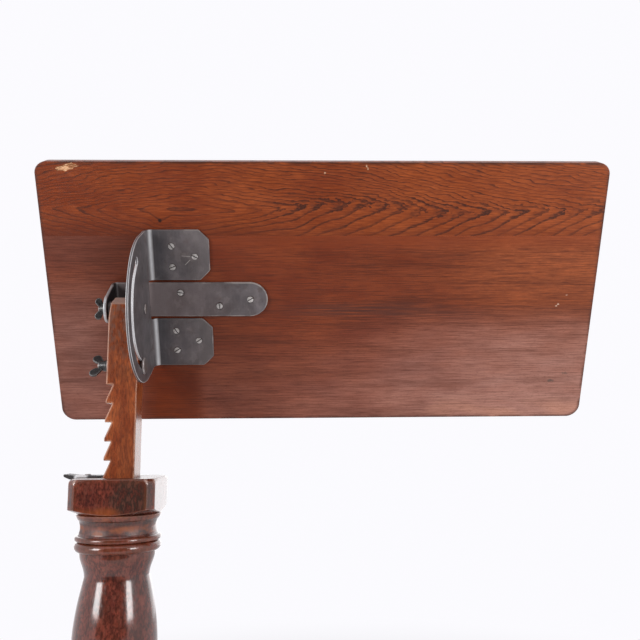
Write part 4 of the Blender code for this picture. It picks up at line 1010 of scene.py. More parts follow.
def sheet_iron(name, place_of, tone=1.0, shine=1.0, strokes=(), tints=no_tints):
    """Dark handled sheet iron, brushed smooth, with a brown tint, bright rubbed edges and painted highlights
    on bends.
    """
    def toned(*shade):
        return tuple(tone * part for part in shade)

    finish = Finish(name, Metallic=0.4)
    place = place_of(finish)
    x, y, z = finish.split(place)
    mottle = finish.cloud(place, (38, 38, 38), 3)
    brush = finish.cloud(place, (2.6, 60, 1.3), 3)
    grit = finish.cloud(place, (1.1, 1.1, 1.1), 2)
    patina = finish.cloud(place, (12, 17, 12), 4)
    rub = finish.cloud(place, (16, 16, 16), 3)
    stain = finish.cloud(place, (14, 12, 14), 4).ease(0.54, 0.74)
    colour = finish.mix(mottle.ease(0.3, 0.7), toned(0.150, 0.130, 0.137), toned(0.098, 0.080, 0.081))
    colour = finish.coats(
        colour,
        (stain * 0.45, toned(0.094, 0.060, 0.053)),
        (patina.ease(0.5, 0.66) * 0.4, toned(0.060, 0.054, 0.058)),
        ((1 - patina.ease(0.34, 0.46)) * 0.4, toned(0.22, 0.19, 0.19)),
        *tints(x, y, z),
        (brush.ease(0.4, 0.7) * 0.06, toned(0.24, 0.225, 0.235)),
        (grit.ease(0.56, 0.7) * 0.25, toned(0.055, 0.045, 0.045)))
    flange = z.ease(9, 14)
    flat_edges = rub.ease(0.42, 0.62) * (x.ease(55, 112) * 0.3 + 0.1) + 0.05
    edges = flat_edges * (1 - flange) + flange * (rub * 0.5 + 0.45)
    edges = edges * finish.value("wear") ** 2 * shine
    for start, end, width in strokes:
        edges = edges.most(stroke(x, y, start, end, width) * (grit * 0.5 + 0.4))
    # The value bend lays a painted highlight along the bends, joined with the rubbed edges in the bright share
    bend = finish.value("bend")
    bright = edges.most((bend * bend * 0.5 + bend * 0.16) * (patina * 0.8 + 0.5)).least(1.0)
    rubbed_metal_and_highlight = finish.mix(flange.most(bend), (0.58, 0.53, 0.49), (0.66, 0.66, 0.68))
    colour = finish.mix(bright, colour, rubbed_metal_and_highlight)
    roughness = mottle * 0.16 + stain * 0.1 - bright * 0.1 + 0.36
    height = grit * 0.4 + brush * 0.1 + mottle * 0.4
    return finish.surface(colour, roughness, height, 0.00004)


def rubbed_steel(name, place_of, bright, dull, soil):
    """Bright handled steel with soil in its slots and roots, where the mesh's wear is low."""
    finish = Finish(name, Metallic=0.45)
    place = place_of(finish)
    mottle = finish.cloud(place, (3.5, 3.5, 3.5), 3)
    grit = finish.cloud(place, (0.6, 0.6, 0.6), 2)
    clean = finish.value("wear").ease(0.1, 0.7)
    colour = finish.mix(mottle.ease(0.36, 0.64), bright, dull)
    colour = finish.mix((1 - clean) * 0.92, colour, soil)
    roughness = mottle * 0.2 + grit * 0.1 + 0.26
    return finish.surface(colour, roughness, grit * 0.6 + mottle * 0.4, 0.00005)


def black_casting():
    """Blackened cast iron, grey where fingers rub it."""
    finish = Finish("black nut iron", Metallic=0.3)
    place = finish.place()
    pits = finish.cloud(place, (0.8, 0.8, 0.8), 3)
    mottle = finish.cloud(place, (4, 4, 4), 3)
    wear = finish.value("wear") * (mottle * 0.5 + pits * 0.5).ease(0.36, 0.56)
    colour = finish.mix(mottle.ease(0.35, 0.65), (0.010, 0.0098, 0.010), (0.024, 0.0228, 0.0228))
    colour = finish.mix(wear * 0.55, colour, (0.46, 0.43, 0.42))
    roughness = pits * 0.2 + 0.2 - wear * 0.06
    return finish.surface(colour, roughness, pits, 0.00012)


# Board

def board_outline():
    """The board's outline; its upper corners are a little tighter than the lower ones."""
    low = BOARD_CORNER_RADIUS
    high = BOARD_UPPER_CORNER_RADIUS
    corners = ((BOARD_RIGHT - low, BOARD_BOTTOM + low, low, -pi / 2),
               (BOARD_RIGHT - high, BOARD_TOP - high, high, 0),
               (BOARD_LEFT + high, BOARD_TOP - high, high, pi / 2),
               (BOARD_LEFT + low, BOARD_BOTTOM + low, low, pi))
    outline = []
    for x, y, radius, start in corners:
        outline += arc(x, y, radius, start, start + pi / 2, 24)
    return outline


def chip_cutter(finish):
    """The splinter that is missing near the board's upper left corner."""
    form = bmesh.new()
    bmesh.ops.create_icosphere(form, subdivisions=4, radius=1)
    for vert in form.verts:
        x, y, z = vert.co
        bulge = 1 + 0.5 * noise.noise(vert.co * 2.6) + 0.3 * noise.noise(vert.co * 6)
        vert.co = Vector((x * CHIP_LENGTH, y * CHIP_WIDTH, z * CHIP_DEPTH)) * bulge
    mesh = mesh_of(form, "chip")
    mesh.transform(Matrix.Translation(CHIP_PLACE) @ Matrix.Rotation(CHIP_TURN, 4, "Z"))
    mesh.materials.append(finish)
    return mesh


def make_planks():
    """The board with a slight warp, sawn into its two planks, and a chip out of the upper one."""
    whole = slab("board", [board_outline()], -BOARD_THICKNESS, 0, *BOARD_EDGE, 4)
    form = form_of(whole)
    cut_lines(form, 0, steps_between(BOARD_LEFT, BOARD_RIGHT, BOARD_GRID))
    cut_lines(form, 1, steps_between(BOARD_BOTTOM, BOARD_TOP, BOARD_GRID))
    length_x, length_y = BOARD_WARP_LENGTHS
    for vert in form.verts:
        spot = Vector((vert.co.x / length_x, vert.co.y / length_y, BOARD_WARP_SEED))
        vert.co.z += BOARD_WARP * noise.noise(spot)
    whole = mesh_of(form, "board")
    figured = sawn(whole, "figured_plank", (0, PLANK_JOINT + JOINT_GAP / 2, 0), (0, -1, 0))
    plain = sawn(whole, "plain_plank", (0, PLANK_JOINT - JOINT_GAP / 2, 0), (0, 1, 0))
    figured_finish = figured_wood()
    bare_finish = bare_wood()
    figured.materials.append(figured_finish)
    chipped = without(figured, chip_cutter(bare_finish), "figured_plank")
    chipped.transform(UNDERSIDE)
    plain.transform(UNDERSIDE)
    add_piece(plain, "plain_plank_fine", "board", "plain_board", [plain_wood()], "plain_plank")
    add_piece(chipped, "figured_plank_fine", "board", "figured_board", [figured_finish, bare_finish],
              "figured_plank")


# Bracket

def fold_length(inner_radius, thickness):
    return (inner_radius + thickness / 2) * pi / 2


def flat_place(height, fold_x, inner_radius, thickness):
    """Where a point of the turned-up leg at this height lies on the sheet before it is folded."""
    return fold_x - fold_length(inner_radius, thickness) - (height - inner_radius - thickness)


def folded(mesh, fold_x, inner_radius, thickness):
    """Turns what lies left of fold_x up to a right angle, after cutting the sheet into small faces.

    The value bend is 1 along a line near the start of the bend and fades to both sides; it lays a painted
    highlight.
    """
    form = form_of(mesh)
    bend = form.verts.layers.float.new("bend")
    length = fold_length(inner_radius, thickness)
    low = [min(vert.co[axis] for vert in form.verts) for axis in (0, 1)]
    high = [max(vert.co[axis] for vert in form.verts) for axis in (0, 1)]
    cut_lines(form, 0, [fold_x - length * count / FOLD_STEPS for count in range(FOLD_STEPS + 1)])
    cut_lines(form, 0, steps_between(low[0], fold_x - length, SHEET_GRID))
    cut_lines(form, 0, steps_between(fold_x, high[0], SHEET_GRID))
    cut_lines(form, 1, steps_between(low[1], high[1], SHEET_GRID))
    for vert in form.verts:
        past = fold_x - vert.co.x
        if past > 0:
            turn = min(past / length, 1) * pi / 2
            vert[bend] = exp(-((past / length - BEND_HIGHLIGHT_PLACE) / BEND_HIGHLIGHT_WIDTH) ** 2)
            reach = inner_radius + thickness - vert.co.z
            vert.co.x = fold_x - reach * sin(turn)
            vert.co.z = inner_radius + thickness - reach * cos(turn) + max(past - length, 0)
    return mesh_of(form, mesh.name)


def arc_slot(centre_x, radius, half_width, first, last):
    """Outline of a round-ended slot along an arc about (centre_x, 0)."""
    outer = arc(centre_x, 0, radius + half_width, first, last, 72)
    inner = arc(centre_x, 0, radius - half_width, last, first, 72)
    ends = []
    for place, start in ((last, last), (first, first + pi)):
        x = centre_x + radius * cos(place)
        y = radius * sin(place)
        ends.append(arc(x, y, half_width, start, start + pi, 16)[1:-1])
    return outer + ends[0] + inner + ends[1]


def clear_wear(mesh, places):
    """Takes the wear off a sheet around its screw holes, where no hand rubs it."""
    wear = mesh.attributes["wear"].data
    for vert in mesh.vertices:
        if min(hypot(vert.co.x - x, vert.co.y - y) for x, y in places) < UNRUBBED_RADIUS:
            wear[vert.index].value = 0


def screw_seats(places):
    return [ring(x, y, SCREW_HEAD_RADIUS + SCREW_GAP, 40) for x, y in places]


def add_sheet(name, outlines, screws, thickness, edge, fold, wander, finish):
    """Cuts a sheet flat, folds it and screws it under the board; the fold is (place, inner radius)."""
    sheet = slab(name, outlines, 0, thickness, *edge)
    clear_wear(sheet, screws)
    sheet = folded(sheet, *fold, thickness)
    wobble(sheet, *wander)
    sheet.transform(SHEET_PLACE)
    add_piece(sheet, name + "_fine", "board", "bracket_iron", [finish], name)


def make_quadrant(finish):
    """The slotted quadrant, cut flat with its two tabs and folded up along them."""
    fold_x = FLANGE_OUTER_X + QUADRANT_FOLD_RADIUS
    pivot_x = flat_place(SHEET_PIVOT, fold_x, QUADRANT_FOLD_RADIUS, QUADRANT_THICKNESS)
    notch_x = fold_x - fold_length(QUADRANT_FOLD_RADIUS, QUADRANT_THICKNESS) * TAB_NOTCH_TURN / (pi / 2)
    chamfer_x = TAB_REACH - TAB_CHAMFER
    upper_tab = [(notch_x, TAB_GAP / 2), (chamfer_x, TAB_GAP / 2), (TAB_REACH, TAB_GAP / 2 + TAB_CHAMFER),
                 (TAB_REACH, QUADRANT_RADIUS - TAB_CHAMFER), (chamfer_x, QUADRANT_RADIUS)]
    lower_tab = [(x, -y) for x, y in reversed(upper_tab)]
    rim = arc(pivot_x, 0, QUADRANT_RADIUS, pi / 2, 3 * pi / 2, 96)
    slot = arc_slot(pivot_x, SLOT_RADIUS, SLOT_HALF_WIDTH, pi - TILT_LIMIT, pi + TILT_LIMIT)
    holes = [slot, ring(pivot_x, 0, PIVOT_HOLE_RADIUS)] + screw_seats(TAB_SCREWS)
    outline = soften(upper_tab + rim + lower_tab, QUADRANT_CORNER_ROUND)
    add_sheet("quadrant_plate", [outline] + holes, TAB_SCREWS, QUADRANT_THICKNESS, QUADRANT_EDGE,
              (fold_x, QUADRANT_FOLD_RADIUS), QUADRANT_WANDER, finish)


def make_strap(finish):
    """The round-ended strap, cut flat with its ear and folded up beside the post."""
    fold_x = EAR_INNER_X + STRAP_FOLD_RADIUS
    pivot_x = flat_place(SHEET_PIVOT, fold_x, STRAP_FOLD_RADIUS, STRAP_THICKNESS)
    shoulder_x = fold_x - fold_length(STRAP_FOLD_RADIUS, STRAP_THICKNESS)
    half = STRAP_WIDTH / 2
    outline = [(shoulder_x, -half)] + arc(STRAP_REACH - half, 0, half, -pi / 2, pi / 2, 48)
    outline += [(shoulder_x, half)] + arc(pivot_x, 0, EAR_RADIUS, pi / 2, 3 * pi / 2, 48)
    outline = soften(outline, STRAP_CORNER_ROUND)
    holes = [ring(pivot_x, 0, PIVOT_HOLE_RADIUS)] + screw_seats(STRAP_SCREWS)
    add_sheet("pivot_strap", [outline] + holes, STRAP_SCREWS, STRAP_THICKNESS, STRAP_EDGE,
              (fold_x, STRAP_FOLD_RADIUS), STRAP_WANDER, finish)


# Screws and legs, by geometry nodes

def new_tree(name, inputs):
    """An empty geometry tree with named inputs; gives the tree and its two end nodes."""
    tree = bpy.data.node_groups.new(name, "GeometryNodeTree")
    tree.interface.new_socket("Geometry", in_out="INPUT", socket_type="NodeSocketGeometry")
    for label, kind in inputs:
        tree.interface.new_socket(label, in_out="INPUT", socket_type="NodeSocket" + kind)
    tree.interface.new_socket("Geometry", in_out="OUTPUT", socket_type="NodeSocketGeometry")
    return tree, tree.nodes.new("NodeGroupInput"), tree.nodes.new("NodeGroupOutput")


def figure(tree, operation, first, second):
    return add_node(tree, "ShaderNodeMath", {0: first, 1: second}, operation=operation).outputs[0]


def raised(tree, geometry, height):
    shift = add_node(tree, "ShaderNodeCombineXYZ", {"Z": height}).outputs[0]
    return add_node(tree, "GeometryNodeTransform", {"Geometry": geometry, "Translation": shift}).outputs[0]


def close_tree(tree, points, instance, turn, material, exit_node):
    """Copies of an instance on points, each with its own turn about Z, made real and given their finish."""
    rotation = add_node(tree, "ShaderNodeCombineXYZ", {"Z": turn}).outputs[0]
    copies = add_node(tree, "GeometryNodeInstanceOnPoints",
                      {"Points": points, "Instance": instance, "Rotation": rotation})
    real = add_node(tree, "GeometryNodeRealizeInstances", {"Geometry": copies.outputs[0]})
    painted = add_node(tree, "GeometryNodeSetMaterial", {"Geometry": real.outputs[0], "Material": material})
    tree.links.new(painted.outputs[0], exit_node.inputs[0])


def screw_tree():
    """Slotted countersunk screws, one on each point, each driven to its own angle."""
    inputs = [("Head Radius", "Float"), ("Shank Radius", "Float"), ("Length", "Float"), ("Dome", "Float"),
              ("Slot Width", "Float"), ("Slot Depth", "Float"), ("Seed", "Int"), ("Material", "Material")]
    tree, entry, exit_node = new_tree("driven screws", inputs)
    given = entry.outputs
    cone_depth = figure(tree, "SUBTRACT", given["Head Radius"], given["Shank Radius"])
    cone = add_node(tree, "GeometryNodeMeshCone",
                    {"Vertices": 40, "Radius Top": given["Head Radius"],
                     "Radius Bottom": given["Shank Radius"], "Depth": cone_depth},
                    fill_type="NGON").outputs[0]
    cone = raised(tree, cone, figure(tree, "MULTIPLY", cone_depth, -1.0))
    dome = add_node(tree, "GeometryNodeMeshUVSphere",
                    {"Segments": 40, "Rings": 20, "Radius": given["Head Radius"]}).outputs[0]
    flatness = figure(tree, "DIVIDE", given["Dome"], given["Head Radius"])
    squash = add_node(tree, "ShaderNodeCombineXYZ", {"X": 1.0, "Y": 1.0, "Z": flatness}).outputs[0]
    dome = add_node(tree, "GeometryNodeTransform", {"Geometry": dome, "Scale": squash}).outputs[0]
    shank = add_node(tree, "GeometryNodeMeshCylinder",
                     {"Vertices": 24, "Radius": given["Shank Radius"], "Depth": given["Length"]},
                     fill_type="NGON").outputs[0]
    shank = raised(tree, shank, figure(tree, "MULTIPLY", given["Length"], -0.5))
    solid = add_node(tree, "GeometryNodeMeshBoolean", {}, operation="UNION", solver="EXACT")
    for form in (cone, dome, shank):
        tree.links.new(form, solid.inputs["Mesh 2"])
    size = add_node(tree, "ShaderNodeCombineXYZ",
                    {"X": figure(tree, "MULTIPLY", given["Head Radius"], 3.0), "Y": given["Slot Width"],
                     "Z": figure(tree, "MULTIPLY", given["Slot Depth"], 2.0)}).outputs[0]
    saw = add_node(tree, "GeometryNodeMeshCube", {"Size": size}).outputs[0]
    slotted = add_node(tree, "GeometryNodeMeshBoolean", {"Mesh 1": solid.outputs[0], "Mesh 2": saw},
                       operation="DIFFERENCE", solver="EXACT").outputs[0]
    turn = add_node(tree, "FunctionNodeRandomValue", {3: pi, "Seed": given["Seed"]},
                    data_type="FLOAT").outputs[1]
    close_tree(tree, given["Geometry"], slotted, turn, given["Material"], exit_node)
    return tree


def leg_tree():
    """Copies of one leg turned about the column's axis; each keeps the place it has on the first leg."""
    inputs = [("Leg", "Object"), ("Count", "Int"), ("Material", "Material")]
    tree, entry, exit_node = new_tree("ring of legs", inputs)
    given = entry.outputs
    leg = add_node(tree, "GeometryNodeObjectInfo", {"Object": given["Leg"]}).outputs["Geometry"]
    here = add_node(tree, "GeometryNodeInputPosition", {}).outputs[0]
    marked = add_node(tree, "GeometryNodeStoreNamedAttribute",
                      {"Geometry": leg, "Name": "leg_place", "Value": here},
                      data_type="FLOAT_VECTOR", domain="POINT").outputs[0]
    points = add_node(tree, "GeometryNodePoints", {"Count": given["Count"]}).outputs[0]
    index = add_node(tree, "GeometryNodeInputIndex", {}).outputs[0]
    turn = figure(tree, "MULTIPLY", figure(tree, "DIVIDE", index, given["Count"]), 2 * pi)
    close_tree(tree, points, marked, turn, given["Material"], exit_node)
    return tree


def grown(tree, mesh, name, values):
    """The mesh that a geometry tree makes from a starting mesh and named input values."""
    start = placed(name, mesh)
    modifier = start.modifiers.new("nodes", "NODES")
    modifier.node_group = tree
    for socket in tree.interface.items_tree:
        if socket.in_out == "INPUT" and socket.name in values:
            modifier[socket.identifier] = values[socket.name]
    return plain_mesh(start, name)


def points_mesh(places):
    mesh = bpy.data.meshes.new("places")
    mesh.from_pydata(places, [], [])
    return mesh


def mark_slots(mesh, seats):
    """Sets wear to 1 on the tops of screw heads on these seats, and to 0 at their rims and in their slots."""
    wear = mesh.attributes.new("wear", "FLOAT", "POINT")
    for vert in mesh.vertices:
        seat = min(seats, key=lambda place: hypot(vert.co.x - place[0], vert.co.y - place[1]))
        if vert.co.z > seat[2] - SCREW_TOP_DEPTH:
            out = hypot(vert.co.x - seat[0], vert.co.y - seat[1]) / SCREW_HEAD_RADIUS
            wear.data[vert.index].value = min(max((1 - out) / SCREW_SOILED_RIM, 0), 1)


def numbered(name, first, last):
    return [f"{name}_{count}" for count in range(first, last + 1)]


def make_screws(finish):
    """The screws of the bracket and those of the plate under the legs."""
    sizes = {"Head Radius": SCREW_HEAD_RADIUS, "Shank Radius": SCREW_SHANK_RADIUS, "Length": SCREW_LENGTH,
             "Dome": SCREW_DOME, "Slot Width": SCREW_SLOT_WIDTH, "Slot Depth": SCREW_SLOT_DEPTH,
             "Material": finish}
    tree = screw_tree()
    bracket = [(x, y, QUADRANT_THICKNESS) for x, y in TAB_SCREWS]
    bracket += [(x, y, STRAP_THICKNESS) for x, y in STRAP_SCREWS]
    spider = [(x, -y, SPIDER_THICKNESS) for x, y in spider_screw_places()]
    bracket_nodes = numbered("tab_screw", 1, 6) + numbered("strap_screw", 7, 9)
    for name, body, places, carrier, seed, nodes in (
            ("bracket_screws", "board", bracket, SHEET_PLACE, 4, bracket_nodes),
            ("spider_screws", "stand", spider, SPIDER_PLACE, 9, numbered("spider_screw", 1, 6))):
        screws = grown(tree, points_mesh(places), name, {**sizes, "Seed": seed})
        mark_slots(screws, places)
        screws.transform(carrier)
        add_piece(screws, name + "_fine", body, "screw_steel", [finish], *nodes)


# Post, bolts and nuts

def shelf_height(count):
    """Height of a notch's shelf above the column head's top; shelf 0 rests on the catch."""
    return count * NOTCH_PITCH - SHELF_BELOW_HEAD_TOP


def post_outline():
    """Front of the post: toothed down its left side, its upper left corner worn back by the ear."""
    left = -POST_WIDTH / 2
    right = POST_WIDTH / 2
    pivot_z = PIVOT.z - HEAD_TOP
    outline = [(left, -POST_TAIL), (right, -POST_TAIL), (right, POST_TOP), (left + POST_TOP_WEAR, POST_TOP)]
    outline += [(left + depth, pivot_z + height) for depth, height in POST_EAR_WEAR]
    for count in range(HIGHEST_SHELF, LOWEST_SHELF - 1, -1):
        shelf = shelf_height(count)
        outline += [(left, shelf), (left + NOTCH_DEPTH, shelf), (left, shelf - NOTCH_PITCH + NOTCH_TIP_FLAT)]
    return soften(outline, POST_CORNER_ROUND)


def make_post(finish):
    half = POST_DEPTH / 2
    post = slab("post", [post_outline()], -half, half, *POST_EDGE)
    post.transform(UPRIGHT)
    form = form_of(post)
    chamfer_y = half - POST_TOP_CHAMFER
    cut_lines(form, 1, steps_between(-half, half, POST_DEPTH_GRID) + [-chamfer_y, chamfer_y])
    cut_lines(form, 2, steps_between(POST_GRID_BOTTOM, POST_TOP, POST_HEIGHT_GRID))
    for vert in form.verts:
        vert.co.z = min(vert.co.z, POST_TOP - max(abs(vert.co.y) - half + POST_TOP_CHAMFER, 0))
    post = mesh_of(form, "post")
    wobble(post, *POST_WANDER)
    pivot_z = PIVOT.z - HEAD_TOP
    for radius, height in ((PIVOT_HOLE_RADIUS, pivot_z), (SLOT_HALF_WIDTH, pivot_z - SLOT_RADIUS)):
        bore = bore_cutter(radius, -POST_WIDTH, POST_WIDTH)
        bore.transform(Matrix.Translation((0, 0, height)) @ TO_THE_RIGHT)
        post = without(post, bore, "post")
    post.transform(POST_PLACE)
    add_piece(post, "ratchet_post_fine", "post", "post_wood", [finish], "ratchet_post")


def bolt_profile(radius, head_radius, head_height, length):
    """A domed bolt head above z = 0 with a softened rim, and its threaded shank below."""
    profile = [(0, head_height)]
    for step in range(1, 8):
        turn = radians(12 * step)
        profile.append((head_radius * sin(turn), head_height * (1 - BOLT_CROWN + BOLT_CROWN * cos(turn))))
    profile.append((head_radius, head_height * BOLT_SIDE))
    profile += [(head_radius - back, height) for back, height in BOLT_RIM]
    plain_length = length * (1 - THREADED_SHARE)
    profile += [(radius, 0), (radius, -plain_length)]
    for count in range(int(length * THREADED_SHARE / THREAD_PITCH) - 1):
        low = -plain_length - count * THREAD_PITCH
        profile += [(radius - THREAD_DEPTH, low - THREAD_PITCH / 2), (radius, low - THREAD_PITCH)]
    return profile + [(radius - BOLT_TIP_CHAMFER, -length), (0, -length)]


def make_bolts(finish):
    """The two bolts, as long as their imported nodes, and the discs between the post and the nuts."""
    seat_x = PIVOT.x + FLANGE_OUTER_X + SEAT_GAP
    for name, sizes, height in (("pivot_bolt", PIVOT_BOLT, PIVOT.z),
                                ("clamp_bolt", CLAMP_BOLT, CLAMP_NUT_SEAT.z)):
        length = seat_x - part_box(name)[0].x
        bolt = turned(name, bolt_profile(*sizes, length), 48)
        mark_ridges(bolt, BOLT_RIDGE)
        wobble(bolt, *BOLT_WANDER, sizes[0] * 900)
        bolt.transform(Matrix.Translation((seat_x, PIVOT.y, height)) @ TO_THE_RIGHT)
        add_piece(bolt, name + "_fine", "post", "bolt_steel", [finish], name)
    seat_x = PIVOT.x - POST_WIDTH / 2 - SEAT_GAP
    for name, sizes, height in (("pivot_spacer", PIVOT_SPACER, PIVOT.z),
                                ("clamp_washer", CLAMP_WASHER, CLAMP_NUT_SEAT.z)):
        radius, hole_radius, thickness = sizes
        disc = slab(name, [ring(0, 0, radius), ring(0, 0, hole_radius)], 0, thickness, *DISC_EDGE)
        disc.transform(Matrix.Translation((seat_x, PIVOT.y, height)) @ TO_THE_LEFT)
        add_piece(disc, name + "_fine", "post", "bolt_steel", [finish], name)


def wing_outline(height, span, lobe_radius, hub_height):
    """Both wings of a nut, spreading from the hub's foot to their lobes, with a saddle between them."""
    lobe_x = span / 2 - lobe_radius
    lobe_y = height - lobe_radius
    right = arc(lobe_x, lobe_y, lobe_radius, -pi / 4, 3 * pi / 4, 20)
    left = [(-x, y) for x, y in reversed(right)]
    return [(0, NUT_FOOT)] + right + [(0, hub_height - NUT_SADDLE)] + left


def make_wing_nut(name, body, seat, sizes, bolt_radius, turn, finish):
    """A cast wing nut: a tapered hub and two thick lobes, run together and softened as a casting is."""
    height, span, lobe_radius, hub_radius, hub_height = sizes
    top_radius = hub_radius - NUT_HUB_TAPER
    profile = [(0, hub_height), (top_radius - NUT_RIM, hub_height), (top_radius, hub_height - NUT_RIM),
               (hub_radius, NUT_FOOT), (hub_radius, NUT_RIM), (hub_radius - NUT_RIM, 0), (0, 0)]
    hub = turned(name, profile, 48)
    wings = slab(name, [wing_outline(height, span, lobe_radius, hub_height)], -WING_HALF_THICKNESS,
                 WING_HALF_THICKNESS, *WING_EDGE)
    wings.transform(UPRIGHT)
    form = form_of(hub)
    form.from_mesh(wings)
    for layer in list(form.verts.layers.float):
        form.verts.layers.float.remove(layer)
    nut = mesh_of(form, name)
    nut = worked(nut, name, ("REMESH", {"mode": "VOXEL", "voxel_size": CASTING_GRAIN}),
                 ("SMOOTH", {"factor": 0.5, "iterations": 5}))
    nut = without(nut, bore_cutter(bolt_radius + NUT_BORE_GAP, -CUT_PAST, height + CUT_PAST), name)
    mark_ridges(nut, NUT_RIDGE, 3)
    wobble(nut, *NUT_WANDER, span * 100)
    nut.transform(Matrix.Translation(seat) @ TO_THE_LEFT @ Matrix.Rotation(turn, 4, "Z"))
    add_piece(nut, name + "_fine", body, "nut_iron", [finish], name)


# Column and catch

def bead(radius, depth, top, height):
    """A half-round moulding that stands out from radius by depth, from its top down."""
    return arc(radius, top - height / 2, depth, pi / 2, -pi / 2, 14, squash=height / (2 * depth))


def swell(start_radius, end_radius, bulge, top, height, steps):
    """A long flowing stretch between two radii that stands out by bulge at its middle."""
    points = []
    for step in range(1, steps):
        share = step / steps
        radius = start_radius + (end_radius - start_radius) * (1 - cos(pi * share)) / 2
        points.append((radius + bulge * sin(pi * share), top - height * share))
    return points


def head_shoulder():
    """Distance from the axis to the head's corners, and how steeply its shoulder falls away under them."""
    half = HEAD_SIZE / 2
    corner = hypot(half, half - HEAD_CHAMFER)
    return corner, HEAD_SHOULDER_DROP / (corner - half)


def shaft_profile():
    """Outer side of the column below its head, from the ring's root down."""
    corner, slope = head_shoulder()
    ring_root = RING_RADIUS - RING_HEIGHT / 2
    top = HEAD_TOP - HEAD_CORNER_HEIGHT - slope * (corner - ring_root)
    points = [(ring_root + RING_ROOT_STEP, top)]
    points += [(RING_RADIUS - back, top - down) for back, down in RING_SECTION]
    top -= RING_HEIGHT
    points += swell(ring_root, ring_root, DRUM_RADIUS - ring_root, top, DRUM_HEIGHT, 14)
    top -= DRUM_HEIGHT
    for height in TORUS_HEIGHTS:
        points += bead(TORUS_RADIUS - height / 2, height / 2, top, height)
        top -= height
    points += swell(TORUS_RADIUS - TORUS_HEIGHTS[1] / 2, NECK_RADIUS, 0, top, NECK_HEIGHT, 12)
    top -= NECK_HEIGHT
    points.append((NECK_RADIUS, top))
    bulge = VASE_RADIUS - (NECK_RADIUS + WAIST_RADIUS) / 2
    points += swell(NECK_RADIUS, WAIST_RADIUS, bulge, top, VASE_HEIGHT, 30)
    top -= VASE_HEIGHT
    points.append((WAIST_RADIUS, top))
    shoulder_radius = SOCKET_DRUM_RADIUS - SOCKET_DRUM_SHOULDER
    points += swell(WAIST_RADIUS, shoulder_radius, 0, top, WAIST_HEIGHT, 10)
    top -= WAIST_HEIGHT
    points += arc(shoulder_radius, top - SOCKET_DRUM_SHOULDER, SOCKET_DRUM_SHOULDER, pi / 2, 0, 8)
    points.append((SOCKET_DRUM_RADIUS, COLUMN_BOTTOM + SOCKET_DRUM_RIM))
    points.append((SOCKET_DRUM_RADIUS - SOCKET_DRUM_RIM, COLUMN_BOTTOM))
    return points


def soft_least(first, second, blend):
    """The smaller of two lengths, run together where they are close."""
    gap = max(blend - abs(first - second), 0) / blend
    return min(first, second) - gap * gap * blend / 4


def square_radius(turn, half, chamfer, blend):
    """Distance from the axis to a square with chamfered corners, in one direction."""
    flats = []
    for count in range(8):
        away = half if count % 2 == 0 else (2 * half - chamfer) / sqrt(2)
        facing = cos(turn - count * pi / 4)
        if facing > 0.3:
            flats.append(away / facing)
    flats.sort()
    return soft_least(flats[0], flats[1], blend)


def oblong_radius(turn, half_x, half_y):
    """Distance from the axis to an oblong, in one direction."""
    return min(half_x / max(abs(cos(turn)), 1e-6), half_y / max(abs(sin(turn)), 1e-6))


def head_rows(head):
    """Rows of (radii, heights) down the head, whose top edge is worn rounder at its corners."""
    half = HEAD_SIZE / 2
    corner, slope = head_shoulder()
    worn_from = half * HEAD_WEAR_START
    edges = [HEAD_EDGE_ROUND + HEAD_CORNER_WEAR * min(max((radius - worn_from) / (corner - worn_from), 0), 1)
             for radius in head]
    rows = [([radius - HEAD_TOP_FLAT for radius in head], [HEAD_TOP] * COLUMN_SIDES)]
    for step in range(HEAD_EDGE_STEPS + 1):
        turn = pi / 2 * step / HEAD_EDGE_STEPS
        rows.append(([radius - edge * (1 - sin(turn)) for radius, edge in zip(head, edges)],
                     [HEAD_TOP - edge * (1 - cos(turn)) for edge in edges]))
    for drop in HEAD_DROPS:
        rows.append((head, [HEAD_TOP - drop] * COLUMN_SIDES))
    shoulder = HEAD_TOP - HEAD_CORNER_HEIGHT
    high = shoulder + SHOULDER_START
    low = shaft_profile()[0][1]
    for step in range(SHOULDER_ROWS):
        height = high - (high - low) * step / SHOULDER_ROWS
        cone = corner + (height - shoulder) / slope
        rows.append(([soft_least(radius, cone, SHOULDER_BLEND) for radius in head], [height] * COLUMN_SIDES))
    return rows


